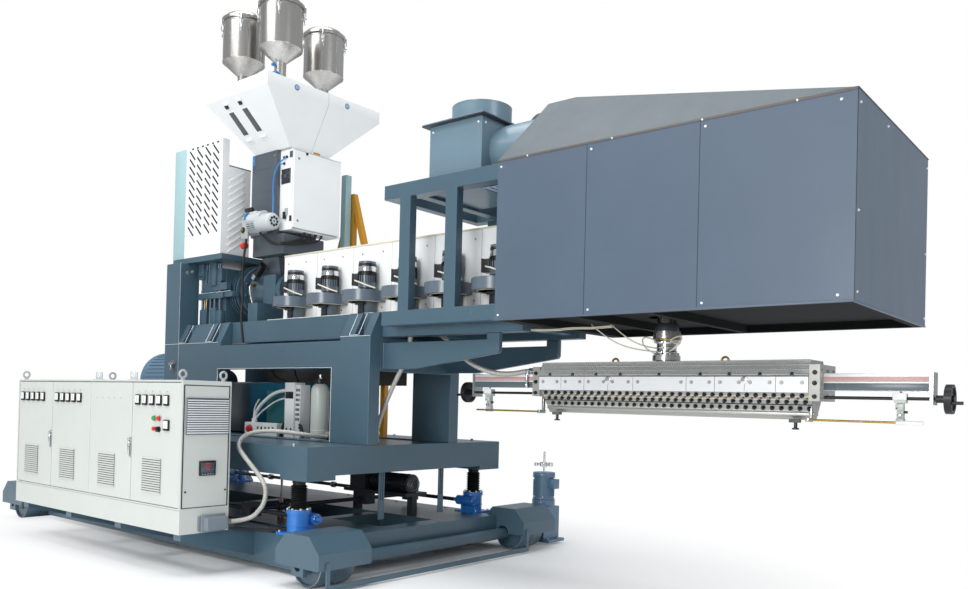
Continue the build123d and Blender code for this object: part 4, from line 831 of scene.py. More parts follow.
for count in doorRights:
    doorParts(count)


def eyeRing(place, size, direction="x", material="steel"):
    shank = drum((place[0], place[1], place[2] + size * 0.25), size * 0.42, size * 0.5, "z", material, 0.002,
                 20)
    loop = ring((place[0], place[1], place[2] + size * 1.2), size * 0.72, size * 0.24, direction, material)
    return [shank, loop]


def cabinetDetails():
    top = 1.382
    parts = []
    for x, y in ((-1.19, -1.69), (1.34, -1.69), (1.37, -1.38), (-0.25, -1.38)):
        parts += eyeRing((x, y, top), 0.036, "x", "greyCable")
    for x in (-0.1, 0.45):  # lug plates with a hole, with their foot
        parts += [slab((x, -1.62, top), (x + 0.1, -1.56, top + 0.008), "cast", 0.002),
                  slab((x, -1.6, top), (x + 0.1, -1.59, top + 0.066), "cast", 0.002),
                  ring((x + 0.05, -1.601, top + 0.042), 0.018, 0.004, "y", "white", 20, 6)]
    # groove over the plinth
    parts.append(slab((-1.232, -1.7345, 0.469), (1.413, -1.73, 0.4745), "greyCable", 0.001))
    parts.append(slab((-1.232, -1.7338, 1.37), (1.413, -1.732, 1.373), "greyCable", 0))
    end = 1.414
    parts += [slab((end - 0.001, -1.722, 0.484), (end + 0.002, -1.352, 0.489), "rubber", 0),  # end door seam
              slab((end - 0.001, -1.722, 1.344), (end + 0.002, -1.352, 1.35), "rubber", 0),
              slab((end - 0.001, -1.724, 0.486), (end + 0.002, -1.716, 1.348), "rubber", 0),
              slab((end - 0.001, -1.358, 0.486), (end + 0.0025, -1.35, 1.348), "rubber", 0)]
    for y in (-1.695, -1.372):
        for z in (0.6, 1.235):
            parts.append(drum((end + 0.002, y, z), 0.007, 0.006, "x", "black", 0.001, 14))
    tall, slats = 0.262 - 0.016, 15  # cooler grille
    step = tall / slats
    grille = slab((end + 0.013, -1.7, 1.008), (end + 0.0165, -1.366, 1.008 + step * 0.58), "plates", 0.0012,
                  1)
    parts += repeated(grille, [(0, 0, step * n) for n in range(1, slats)])
    # dark sheet behind the grille slats, painted as the shade between them
    parts.append(slab((end + 0.012, -1.702, 1.006), (end + 0.0145, -1.364, 1.256), "dark", 0))
    parts += [slab((end - 0.001, -1.591, 0.709), (end + 0.012, -1.458, 0.814), "black", 0.004),  # controller
              slab((end + 0.011, -1.58, 0.726), (end + 0.0135, -1.469, 0.802), "glass", 0.001)]
    for z, span in ((0.79, 0.045), (0.772, 0.05), (0.752, 0.03)):
        parts.append(slab((end + 0.013, -1.525 - span / 2, z), (end + 0.0145, -1.525 + span / 2, z + 0.006),
                          "red", 0))
    for n in range(5):
        parts.append(slab((end + 0.013, -1.575 + n * 0.022, 0.716), (end + 0.015, -1.562 + n * 0.022, 0.722),
                          "greyCable", 0.001))
    # back plate of the cable box
    parts += [slab((1.426, -1.575, 0.308), (1.44, -1.378, 0.432), "box", 0.003),
              drum((1.458, -1.379, 0.37), 0.027, 0.012, "y", "brass", 0.002, 6),
              drum((1.458, -1.362, 0.37), 0.022, 0.018, "y", "steel", 0.003, 24)]
    for x, z in ((1.494, 0.335), (1.494, 0.405)):
        for y in (-1.548, -1.404):
            parts.append(drum((x - 0.001, y, z), 0.005, 0.004, "x", "steel", 0.001, 10))
    settle(joined(parts, "cabinetTrim"), "carriage", "cabinet_paint")
    dressed("cabinet_fittings", "carriage", "box_grey", "box", 0.006, 3)


cabinetDetails()
print("cabinet fitted")


# Carriage: bolts, seams, bellows, jacks, wheels

def bolts(name, spots, radius, height, body, slotName="steel", material="steel"):
    # heads on (place, direction) spots, all copies of one
    head = boltHead(radius, height, material)
    made = [facing(head, direction, place) for place, direction in spots]
    discard(head)
    return settle(joined(made, name), body, slotName)


jack = {"x": 1.795, "y": 1.0, "foot": 0.298, "bellowsLow": 0.465}


def bellows(x, y):
    # a rubber concertina with a nut flange on top
    low, high = jack["bellowsLow"] + 0.0005, 0.64
    folds = 11
    step = (high - low) / folds
    profile = []
    for n in range(folds):
        profile += [(0.05, low + step * n), (0.063, low + step * (n + 0.5))]
    profile += [(0.05, high), (0.046, high + 0.004), (0.046, 0.655), (0.051, 0.658), (0.051, 0.681)]
    return lathe(profile, (x, y, 0), "rubber", 32)


def jacks():
    soft, spots, parts = [], [], []
    for sx in (-1, 1):
        for sy in (-1, 1):
            x, y = sx * jack["x"], sy * jack["y"]
            soft.append(bellows(x, y))
            for dx in (-0.105, 0.105):
                for dy in (-0.085, 0.085):
                    spots.append(((x + dx, y + dy, jack["foot"]), (0, 0, 1)))
            for n in range(8):
                turn = n * math.pi / 4 + 0.3
                spots.append(((x + 0.078 * math.cos(turn), y + 0.078 * math.sin(turn), 0.4651), (0, 0, 1)))
            parts.append(ring((x, y, 0.4655), 0.068, 0.003, "z", "steel"))
            for end in (-1, 1):
                parts.append(ring((x + end * 0.095, sy * 0.904, 0.39), 0.03, 0.004, "x", "steel", 24, 8))
            parts.append(drum((x, y, 0.352), 0.086, 0.01, "z", "jack", 0.003, 40))
    piece = joined(soft, "jackBellowsRings")
    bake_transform(piece)
    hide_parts("jack_bellows")
    settle(joined(parts, "jackRings"), "carriage", "steel")
    bolts("jackBolts", spots, 0.011, 0.012, "carriage")


jacks()


def carriageDetails():
    parts = []
    for sx in (-1, 1):  # seams and trim on the wheel covers
        for sy in (-1, 1):
            x0, x1 = sx * 2.231 - 0.1185, sx * 2.231 + 0.1185
            inner, outer = sy * 0.93, sy * 1.32
            parts.append(slab((x0 + 0.03, min(inner, outer), 0.3668), (x1 - 0.03, max(inner, outer), 0.3676),
                              "frame", 0))
    for sx in (-1, 1):  # flange plates at the ends of the side beams, with bolts
        for sy in (-1, 1):
            y = sy * 0.878
            parts.append(slab((sx * 2.01 - 0.012, min(y, y - sy * 0.004), 0.045),
                              (sx * 2.01 + 0.012, max(y, y - sy * 0.004), 0.278), "frame", 0.002))
    parts += [drum((0, y, 0.279), 0.0028, 3.9, "x", "frame", 0, 8) for y in (-0.8795, 0.8795)]
    settle(joined(parts, "carriageTrim"), "carriage", "frame_paint")
    spots = []
    for x in (-1.1, -0.3, 0.5, 1.32):  # bracket bolts under the cabinet
        for z in (0.2, 0.26):
            spots.append(((x + 0.047, -1.11, z), (1, 0, 0)))
    for sy in (-1, 1):
        for x in (-1.9, -1.45, -0.6, 0.1, 0.8, 1.45, 1.9):
            spots.append(((x, sy * 1.02, 0.2805), (0, 0, 1)))
    bolts("carriageBolts", spots, 0.01, 0.01, "carriage")


carriageDetails()


def wheelset(node, body, x):
    # steel wheels with turned faces and a grooved hub, on a painted tube
    parts = []
    for sy in (-1, 1):
        y = sy * 1.125
        profile = [(0.04, -0.149), (0.058, -0.149), (0.062, -0.138), (0.128, -0.136), (0.133, -0.1485),
                   (0.147, -0.1485), (0.15, -0.144), (0.15, -0.004), (0.144, 0.002), (0.144, 0.012),
                   (0.15, 0.018), (0.15, 0.144), (0.147, 0.1485), (0.133, 0.1485), (0.128, 0.136),
                   (0.062, 0.138), (0.058, 0.149), (0.04, 0.149)]
        parts.append(lathe(profile, (x, y, 0.15), "frame", 64, "y"))
        parts += [ring((x, y + end, 0.15), 0.1455, 0.003, "y", "steel", 64, 8) for end in (-0.1482, 0.1482)]
    parts.append(drum((x, 0, 0.15), 0.0449, 1.96, "y", "frame", 0.002, 36))
    return settle(joined(parts, node + "Turned"), body, "steel", node)


wheelset("front_wheelset", "front_wheels", 2.231)
wheelset("rear_wheelset", "rear_wheels", -2.231)
print("carriage fitted")


# Lift: deck plates, hangers, side plates

def liftDetails():
    parts, spots = [], []
    for sy in (-1, 1):
        front = sy * 0.526
        # pale lines painted as highlights along the edges of the bent heads
        for x0, x1, z in ((-0.896, 0.0, 1.7655), (1.661, 2.0, 1.7655)):
            parts.append(wire([(x0 + 0.004, front + sy * 0.001, z), (x1, front + sy * 0.001, z)], 0.0022,
                              "plates", 2))
        for x in (-0.6, -0.15, 1.815):  # and round the slots in them
            for dx in (-0.0525, 0.0525):
                parts.append(wire([(x + dx, sy * 0.522, 1.775), (x + dx, sy * 0.436, 1.945)], 0.0026,
                                  "plates", 2))
            parts.append(wire([(x - 0.0525, sy * 0.524, 1.774), (x + 0.0525, sy * 0.524, 1.774)], 0.0026,
                              "plates", 2))
    # pale lines painted as highlights round the edges of the window
    parts.append(wire([(0.008, -0.5265, 1.524), (1.568, -0.5265, 1.524)], 0.0022, "plates", 2))
    parts.append(wire([(0.008, -0.5265, 0.935), (0.008, -0.5265, 1.524)], 0.0022, "plates", 2))
    parts.append(wire([(1.568, -0.5265, 0.935), (1.568, -0.5265, 1.524)], 0.0022, "plates", 2))
    # pale line painted as a highlight on the seam of the rear post
    parts.append(slab((-0.649, -0.5275, 0.93), (-0.6465, -0.5255, 2.548), "plates", 0))
    for sy in (-1, 1):
        for x in (-0.25, 0.75, 1.75):
            spots.append(((x, sy * 1.02, 0.9285), (0, 0, 1)))
    settle(joined(parts, "liftHighlightLines"), "lift", "frame_paint")
    for x, z in ((-0.735, 1.545), (-0.735, 1.6), (-0.76, 1.57), (-0.7, 1.585), (-0.72, 1.515)):
        spots.append(((x, -0.5265, z), (0, -1, 0)))
    for x in (-0.52, -0.44):
        spots.append(((x, -0.5265, 2.44), (0, -1, 0)))
    for x in (2.5, 2.72, 2.94, 3.1):
        spots.append(((x, -0.3, 1.8), (0, -1, 0)))
    bolts("liftBolts", spots, 0.013, 0.014, "lift")
    nozzle = [slab((-0.765, -0.56, 1.56), (-0.705, -0.526, 1.59), "steel", 0.004),
              drum((-0.735, -0.548, 1.545), 0.012, 0.075, "z", "steel", 0.003, 16)]
    settle(joined(nozzle, "postValve"), "lift", "steel")


liftDetails()


# Gearbox end: ledge, clamps, tie rods, ribbed bell, cone, cooling lines

gear = {"near": -0.285, "axis": 2.272}


def gearboxDetails():
    near = gear["near"]
    parts, bright = [], []
    # ledge beam
    parts.append(slab((-0.64, near - 0.06, 2.205), (-0.215, near + 0.002, 2.268), "frame", 0.006))
    parts.append(slab((-0.215, near - 0.045, 2.212), (-0.085, near + 0.04, 2.262), "frame", 0.005))
    for x, low, high in ((-0.6, 1.957, 2.11), (-0.425, 1.957, 2.12), (-0.33, 1.957, 2.09)):
        parts.append(slab((x, near - 0.055, low), (x + 0.085, near + 0.002, high), "frame", 0.005))
    for x, low, high in ((-0.62, 2.4, 2.548), (-0.42, 2.33, 2.548)):
        parts.append(slab((x, near - 0.07, low), (x + 0.095, near + 0.002, high), "frame", 0.005))
    for x in (-0.585, -0.52, -0.455, -0.385, -0.3):  # tie rods with nuts on the ledge
        parts.append(drum((x, near - 0.03, 2.25), 0.014, 0.58, "z", "frame", 0, 16))
        parts.append(drum((x, near - 0.03, 2.28), 0.023, 0.022, "z", "frame", 0.003, 6))
        # a pale strip painted as the highlight along each tie rod
        bright.append(slab((x - 0.0165, near - 0.046, 2.29), (x - 0.0135, near - 0.043, 2.54), "plates", 0))
    # pale lines painted as highlights along the ledge's edge
    for x in (-0.61, -0.335):
        bright.append(slab((x, near - 0.062, 2.262), (x + 0.25, near - 0.059, 2.266), "plates", 0))
    axis = gear["axis"]
    # bell ribs
    for n, (x, radius) in enumerate(((-0.225, 0.262), (-0.185, 0.268), (-0.145, 0.27), (-0.105, 0.268))):
        parts.append(lathe([(radius - 0.03, -0.006), (radius, -0.006), (radius, 0.006),
                            (radius - 0.03, 0.006)], (x, 0, axis), "frame", 64, "x"))
    parts.append(lathe([(0.15, -0.012), (0.246, -0.012), (0.249, -0.009), (0.249, 0.009), (0.246, 0.012),
                        (0.15, 0.012)], (-0.055, 0, axis), "frame", 64, "x"))
    for n in range(12):
        turn = n * math.pi / 6 + 0.2
        parts.append(drum((-0.036, 0.216 * math.cos(turn), axis + 0.216 * math.sin(turn)), 0.013, 0.022, "x",
                          "frame", 0.002, 6))
    parts.append(ring((0.147, 0, axis), 0.128, 0.009, "x", "frame", 48, 8))
    settle(joined(parts, "gearboxTrim"), "lift", "frame_paint")
    for x in (-0.56, -0.535):
        bright.append(drum((x, near - 0.075, 2.435), 0.012, 0.03, "y", "steel", 0.002, 6))
    bright.append(drum((-0.47, near - 0.064, 2.16), 0.011, 0.085, "z", "brass", 0.003, 16))
    bright.append(drum((0.02, -0.165, 2.33), 0.016, 0.04, "y", "brass", 0.003, 6))
    bright.append(wire([(0.02, -0.185, 2.33), (0.026, -0.215, 2.326), (0.05, -0.226, 2.24),
                        (0.11, -0.232, 2.11), (0.15, -0.236, 2.01), (0.17, -0.24, 1.958)], 0.011,
                       "stainless"))
    settle(joined(bright, "gearboxFittings"), "lift", "steel")
    slanted = [hank([(0.06, -0.17, 2.405), (0.19, -0.19, 2.5)], 0.034, "black", order=2),
               hank([(0.04, -0.167, 2.39), (0.085, -0.174, 2.423)], 0.042, "steel", order=2)]
    made = []
    for piece in slanted:
        only(piece)
        bpy.ops.object.convert(target="MESH")
        made.append(smooth(bpy.context.object))
    settle(joined(made, "oilFilter"), "lift", "dark_paint")


gearboxDetails()


# Belt guard: perforated front, louvred end and the teal strip

guard = {"left": -0.735, "right": -0.128, "front": -0.44, "low": 2.603, "high": 3.678, "strip": -0.95,
         "columns": (-0.681, -0.552, -0.415, -0.285), "slots": 11, "slotStep": 0.0735, "slotTop": 3.64,
         "sideBack": -0.128, "sideTop": 3.434}


def guardDetails():
    front = guard["front"]
    holes, trim = [], []
    # the guard's perforations, the diagonal slots here and the row of slots along the top, are black slabs
    # painted as the shade seen through them
    slot = slab((-0.0085, -0.0022, -0.066), (0.0085, 0.0012, 0.066), "rubber", 0)
    slot.data.transform(Matrix.Rotation(-math.pi / 4, 4, "Y"))
    spots = []
    for row in range(guard["slots"]):
        for x in guard["columns"]:
            spots.append((x + 0.047, front, guard["slotTop"] - 0.047 - row * guard["slotStep"]))
    holes += repeated(slot, spots[1:])
    slot.data.transform(Matrix.Translation(spots[0]))
    for column in range(6):
        holes.append(slab((-0.645 + column * 0.084, front - 0.0022, 3.648),
                          (-0.615 + column * 0.084, front + 0.001, 3.662), "rubber", 0))
    side = guard["right"]
    rib = slab((side - 0.002, -0.106, -0.011), (side + 0.004, 0.106, 0.011), "white", 0.003)
    rib.data.transform(Matrix.Rotation(0.61, 4, "X"))
    holes += repeated(rib, [(0, -0.28, 3.345 - n * 0.066) for n in range(1, 11)])
    rib.data.transform(Matrix.Translation((0, -0.28, 3.345)))
    holes += [rib, slab((side - 0.008, -0.37, guard["sideTop"] - 0.004),
                        (side + 0.002, guard["sideBack"], guard["sideTop"] + 0.007), "railShade", 0.001)]
    settle(joined(holes, "guardSlots"), "lift", "dark_paint")
    trim.append(slab((guard["strip"] - 0.001, -0.4312, 2.6035),
                     (guard["left"], -0.379, guard["high"] + 0.001), "teal", 0.003))
    settle(joined(trim, "guardTealStrip"), "lift", "teal_paint")
    edge = [slab((guard["right"] - 0.016, front - 0.003, guard["low"]),
                 (guard["right"] + 0.001, front + 0.004, guard["high"]), "white", 0.002),
            slab((guard["left"], front - 0.003, guard["high"] - 0.014),
                 (guard["right"], front + 0.002, guard["high"]), "white", 0.002)]
    settle(joined(edge, "guardRims"), "lift", "white_paint")


guardDetails()


# Dosing tower and feeder

def towerDetails():
    front, motorY, motorZ = -0.236, -0.316, 2.85
    dark = [slab((0.055, front - 0.004, 2.79), (0.415, front + 0.001, 3.5), "slate", 0.003)]
    bright = []
    for z in (2.95, 3.16, 3.37):
        dark.append(slab((0.06, front - 0.0055, z), (0.41, front, z + 0.004), "slate", 0.001))
    for x in (0.08, 0.39):
        for z in (2.82, 3.47):
            bright.append(drum((x, front - 0.007, z), 0.01, 0.008, "y", "steel", 0.001, 6))
    for n in range(24):  # cooling fins along the feeder motor
        turn = n * math.pi / 12
        fin = slab((0.16, 0.05, -0.0022), (0.31, 0.076, 0.0022), "cast", 0.001, 1)
        fin.data.transform(Matrix.Translation((0, motorY, motorZ)) @ Matrix.Rotation(turn, 4, "X"))
        bright.append(fin)
    bright += [lathe([(0.05, 0.298), (0.074, 0.3), (0.079, 0.308), (0.079, 0.465), (0.074, 0.488),
                      (0.06, 0.5), (0.01, 0.503)], (0, motorY, motorZ), "cast", 48, "x"),
               slab((0.19, -0.35, 2.915), (0.285, -0.285, 2.965), "cast", 0.008),
               slab((0.08, -0.366, 2.72), (0.18, -0.346, 2.895), "greyCable", 0.01),
               drum((0.115, -0.37, 2.802), 0.027, 0.012, "y", "black", 0.003, 28),
               drum((0.115, -0.378, 2.802), 0.016, 0.01, "y", "brass", 0.003, 24)]
    # the air holes are black discs painted as the shade inside them
    for n in range(8):  # air holes of the fan cap
        turn = n * math.pi / 4
        dark.append(drum((0.5025, motorY + 0.036 * math.cos(turn), motorZ + 0.036 * math.sin(turn)), 0.0115,
                         0.005, "x", "rubber", 0, 12))
    dark += [drum((0.5025, motorY, motorZ), 0.008, 0.006, "x", "rubber", 0, 12),
             drum((0.17, -0.345, 2.985), 0.02, 0.105, "x", "black", 0.008, 24),
             slab((0.5, -0.226, 2.885), (0.528, -0.204, 2.95), "black", 0.004),
             slab((0.508, -0.212, 2.915), (0.546, -0.199, 2.985), "greyCable", 0.004),
             slab((0.572, -0.208, 2.86), (0.598, -0.199, 2.912), "black", 0.004)]
    red = [drum((0.045, -0.3, 2.676), 0.032, 0.056, "x", "red", 0.01, 28),
           slab((0.0, -0.318, 2.663), (0.03, -0.282, 2.689), "red", 0.005)]
    blue = [wire([(0.478, -0.316, 2.922), (0.448, -0.288, 3.02), (0.41, -0.27, 3.18), (0.425, -0.27, 3.3),
                  (0.462, -0.262, 3.368), (0.482, -0.235, 3.415), (0.515, -0.206, 3.449)], 0.0065, "blue"),
            wire([(0.462, -0.262, 3.368), (0.472, -0.232, 3.39), (0.482, -0.206, 3.393)], 0.005, "blue"),
            wire([(0.104, -0.352, 2.87), (0.106, -0.352, 2.915), (0.13, -0.35, 2.95), (0.17, -0.346, 2.972)],
                 0.0085, "blue"), slab((0.06, -0.242, 3.43), (0.095, -0.235, 3.52), "blue", 0.002)]
    settle(joined(dark, "towerPanels"), "lift", "dark_paint")
    settle(joined(bright + red + blue, "feederFittings"), "lift", "steel")
    cables = []
    for n in range(4):  # cables that leave under the control box's right edge
        y = -0.02 + n * 0.066
        cables.append(wire([(0.56, y, 2.792), (0.562, y, 2.735), (0.568, y * 0.4 - 0.14, 2.686 - 0.005 * n),
                            (0.566, -0.262, 2.662 - 0.005 * n), (0.52, -0.3, 2.655 - 0.006 * n),
                            (0.4, -0.3, 2.69 - 0.006 * n), (0.27, -0.305, 2.785)], 0.0075, "rubber"))
        cables.append(drum((0.56, y, 2.782), 0.014, 0.028, "z", "black", 0.002, 12))
    cables.append(wire([(0.12, -0.33, 2.772), (0.12, -0.335, 2.7), (0.112, -0.345, 2.6), (0.1, -0.352, 2.45),
                        (0.11, -0.356, 2.3), (0.13, -0.36, 2.15), (0.16, -0.3985, 2.02),
                        (0.19, -0.406, 1.9), (0.215, -0.406, 1.77)], 0.011, "rubber"))
    settle(joined(cables, "towerCables"), "lift", "dark_paint")


towerDetails()


def controlBoxDetails():
    face, near = 0.621, -0.2
    white = [slab((0.6015, -0.194, 2.796), (0.6035, 0.344, 3.512), "greyCable", 0)]
    parts = [slab((0.446, near - 0.007, 3.208), (0.574, near, 3.343), "slate", 0.004),  # fan grille
             slab((0.451, near - 0.009, 3.213), (0.56, near - 0.006, 3.338), "black", 0.002),
             drum((0.506, near - 0.01, 3.276), 0.02, 0.006, "y", "slate", 0.002, 20)]
    parts += [ring((0.506, near - 0.01, 3.276), size, 0.0022, "y", "slate", 32, 6) for size in (0.032, 0.044,
                                                                                                0.055)]
    parts += [drum((x, near - 0.006, z), 0.012, 0.016, "y", "black", 0.003, 20)
              for x, z in ((0.481, 3.449), (0.519, 3.449), (0.482, 3.393))]
    parts.append(slab((0.556, near - 0.006, 3.436), (0.596, near, 3.494), "slate", 0.003))
    parts.append(drum((face + 0.001, -0.06, 3.49), 0.013, 0.008, "x", "black", 0.002, 20))
    for z in (2.87, 3.43):
        parts.append(drum((face - 0.001, -0.15, z), 0.012, 0.008, "x", "steel", 0.002, 20))
    settle(joined(parts, "controlBoxFittings"), "lift", "dark_paint")
    settle(joined(white, "controlBoxSeal"), "lift", "white_paint")
    dressed("control_box_door", "box_door", "white_paint", "white", 0.006, 3)
    handle = [slab((0.47, 0.04, 3.517), (0.59, 0.12, 3.545), "yellow", 0.008, 3)]
    settle(joined(handle, "boxHandle"), "lift", "yellow_paint")


controlBoxDetails()
print("tower fitted")


# Hopper and loaders

hopper = {"low": 3.525, "high": 3.922, "neckRight": 0.581, "right": 0.806,
          "neckHalf": 0.229, "half": 0.652}


def onHopperFront(share, x):
    # a point on the near slanted face; share runs from the neck to the rim
    y = -(hopper["neckHalf"] + (hopper["half"] - hopper["neckHalf"]) * share)
    return Vector((x, y, hopper["low"] + (hopper["high"] - hopper["low"]) * share))


def hopperDetails():
    slope = math.atan2(hopper["half"] - hopper["neckHalf"], hopper["high"] - hopper["low"])
    windows, whites = [], []
    for x in (0.15, 0.35):
        for share, size, kind in ((0.56, (0.07, 0.006, 0.23), "smoked"),
                                  (0.86, (0.03, 0.02, 0.034), "black")):
            piece = slab((-size[0] / 2, -size[1], -size[2] / 2), (size[0] / 2, 0, size[2] / 2), kind, 0.002)
            piece.data.transform(Matrix.Translation(onHopperFront(share, x)) @ Matrix.Rotation(slope, 4, "X"))
            windows.append(piece)
        for share, size in ((0.56, (0.09, 0.0035, 0.25)), (0.9, (0.06, 0.012, 0.02)),
                            (0.27, (0.085, 0.022, 0.012)), (0.24, (0.085, 0.006, 0.05))):
            piece = slab((-size[0] / 2, -size[1], -size[2] / 2), (size[0] / 2, 0, size[2] / 2), "white",
                         0.002)
            piece.data.transform(Matrix.Translation(onHopperFront(share, x)) @ Matrix.Rotation(slope, 4, "X"))
            whites.append(piece)
    right = hopper["right"]
    for y in (-0.34, 0.24):
        windows.append(drum((right + 0.0015, y, 3.972), 0.026, 0.006, "x", "blue", 0.002, 28))
        whites.append(drum((right + 0.0028, y, 3.972), 0.018, 0.006, "x", "greyCable", 0.002, 28))
    seam = [(hopper["neckRight"] + 0.001, 0.02, hopper["low"] + 0.002),
            (right + 0.0012, 0.02, hopper["high"])]
    windows.append(wire(seam, 0.0016, "greyCable", 2))
    windows.append(wire([(right + 0.0008, 0.02, hopper["high"]), (right + 0.0008, 0.02, 4.024)], 0.0016,
                        "greyCable", 2))
    settle(joined(windows, "hopperWindows"), "lift", "dark_paint")
    settle(joined(whites, "hopperClips"), "lift", "white_paint")


hopperDetails()

loaders = ((0.0, -0.33), (0.55, -0.33), (0.35, 0.33))


def loaderDetails(count, x, y):
    profile = [(0.188, 4.728), (0.204, 4.73), (0.206, 4.734), (0.206, 4.748), (0.203, 4.752), (0.192, 4.757),
               (0.188, 4.772), (0.17, 4.79), (0.13, 4.804), (0.08, 4.811), (0.02, 4.8145)]
    lid = lathe(profile, (x, y, 0), "stainless", 56)
    parts = [lid]
    for n in range(28):  # pressed ribs round the lid's slope
        turn = n * math.pi / 14
        a = (x + 0.188 * math.cos(turn), y + 0.188 * math.sin(turn), 4.766)
        b = (x + 0.148 * math.cos(turn), y + 0.148 * math.sin(turn), 4.799)
        parts.append(wire([a, b], 0.004, "stainless", 2))
    for n in range(4):  # toggle clamps over the rim
        turn = n * math.pi / 2 - 0.75
        hold = [slab((0.19, -0.014, 4.64), (0.2, 0.014, 4.7), "chrome", 0.002),
                slab((0.2, -0.009, 4.655), (0.222, 0.009, 4.668), "chrome", 0.003),
                slab((0.207, -0.006, 4.662), (0.216, 0.006, 4.757), "chrome", 0.003),
                slab((0.194, -0.01, 4.75), (0.216, 0.01, 4.76), "chrome", 0.003),
                slab((0.198, -0.0075, 4.6), (0.2065, 0.0075, 4.66), "chrome", 0.003)]
        for piece in hold:
            piece.data.transform(Matrix.Translation((x, y, 0)) @ Matrix.Rotation(turn, 4, "Z"))
        parts += hold
    parts += [ring((x, y, 4.366), 0.1895, 0.0035, "z", "stainless", 64, 8),
              ring((x, y, 4.712), 0.1898, 0.004, "z", "stainless", 64, 8),
              slab((x + 0.186, y - 0.004, 4.372), (x + 0.1915, y + 0.004, 4.708), "stainless", 0.001)]
    parts += [slab((x - 0.06, y - 0.075, 4.03), (x + 0.06, y + 0.075, 4.046), "steel", 0.004),
              drum((x, y, 4.06), 0.072, 0.024, "z", "black", 0.004, 40)]
    if count == 1:
        parts += [slab((x - 0.045, y - 0.085, 4.07), (x + 0.045, y - 0.045, 4.15), "blue", 0.006),
                  drum((x + 0.08, y - 0.05, 4.085), 0.022, 0.06, "x", "steel", 0.004, 20),
                  slab((x - 0.01, y - 0.092, 4.2), (x + 0.01, y - 0.06, 4.225), "blue", 0.004)]
    return settle(joined(parts, f"loaderTrim{count}"), "lift", "stainless")


for count, (x, y) in enumerate(loaders):
    loaderDetails(count, x, y)
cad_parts["loader_lids"].data.materials[0] = finish["stainless"]
print("hopper and loaders fitted")


# Barrel cover and blowers

def coverDetails():
    near = -0.215
    parts, rivets = [], []
    parts += [slab((0.54, near - 0.006, 2.534), (3.356, near + 0.002, 2.549), "cream", 0.003),
              slab((0.54, near - 0.1, 1.9565), (3.356, near - 0.02, 1.9615), "cream", 0)]
    for x in (0.99, 1.45, 1.9, 2.36, 2.82):
        parts.append(slab((x, near - 0.0015, 1.97), (x + 0.003, near + 0.001, 2.534), "greyCable", 0))
    for n in range(12):
        for z in (2.02, 2.47):
            rivets.append(((0.6 + n * 0.24, near - 0.0005, z), (0, -1, 0)))
    settle(joined(parts, "coverLips"), "lift", "white_paint")
    bolts("coverRivets", rivets, 0.0055, 0.005, "lift")


coverDetails()


def blower(x):
    # a fan drum with a finned motor, its terminal box and cable
    y, low, high = -0.302, 2.06, 2.145
    mx = x + 0.028
    parts = [lathe([(0.15, low), (0.171, low + 0.001), (0.1765, low + 0.008), (0.1765, high - 0.01),
                    (0.169, high - 0.001), (0.09, high), (0.086, high + 0.004)], (x, y, 0), "fan", 56),
             ring((x, y, low + 0.001), 0.135, 0.006, "z", "cream", 48, 8),
             lathe([(0.074, high), (0.074, high + 0.014), (0.052, high + 0.022), (0.05, high + 0.045),
                    (0.066, high + 0.055), (0.069, high + 0.062), (0.069, 2.262), (0.071, 2.268),
                    (0.071, 2.318)], (mx, y, 0), "black", 36),
             lathe([(0.0715, 2.3), (0.0722, 2.303), (0.0722, 2.336), (0.0715, 2.339)], (mx, y, 0), "chrome",
                   40), lathe([(0.0715, 2.339), (0.0715, 2.362), (0.062, 2.374), (0.03, 2.3795)], (mx, y, 0),
                              "black", 40)]
    fin = slab((0.064, -0.0016, 2.212), (0.0755, 0.0016, 2.296), "black", 0, 1)
    fins = []
    for n in range(20):
        twin = moved(fin, (0, 0, 0))
        twin.data.transform(Matrix.Translation((mx, y, 0)) @ Matrix.Rotation(n * math.pi / 10, 4, "Z"))
        fins.append(twin)
    discard(fin)
    parts += fins
    parts += [slab((mx - 0.135, y - 0.036, 2.196), (mx - 0.066, y + 0.036, 2.292), "dark", 0.006, 2),
              slab((mx - 0.14, y - 0.04, 2.196), (mx - 0.128, y + 0.04, 2.296), "dark", 0.004, 2),
              wire([(mx - 0.098, y - 0.036, 2.236), (mx - 0.07, y - 0.08, 2.23),
                    (mx + 0.02, y - 0.098, 2.205), (mx + 0.11, y - 0.085, 2.17),
                    (mx + 0.15, y - 0.05, 2.156)], 0.0065, "cream"),
              drum((mx - 0.098, y - 0.042, 2.236), 0.011, 0.022, "y", "black", 0.002, 12),
              slab((x - 0.045, y - 0.06, 2.035), (x + 0.045, y + 0.02, 2.061), "dark", 0.004),
              slab((x - 0.03, y - 0.04, 1.958), (x + 0.03, y + 0.01, 2.04), "dark", 0.003)]
    return joined(parts, "blower")


firstBlower = blower(0.785)
turned = joined(repeated(firstBlower, [(0.449 * n, 0, 0) for n in range(1, 6)]), "blowerUnits")
settle(turned, "lift", "dark_paint")
print("barrel fitted")


# Duct, stand and hood

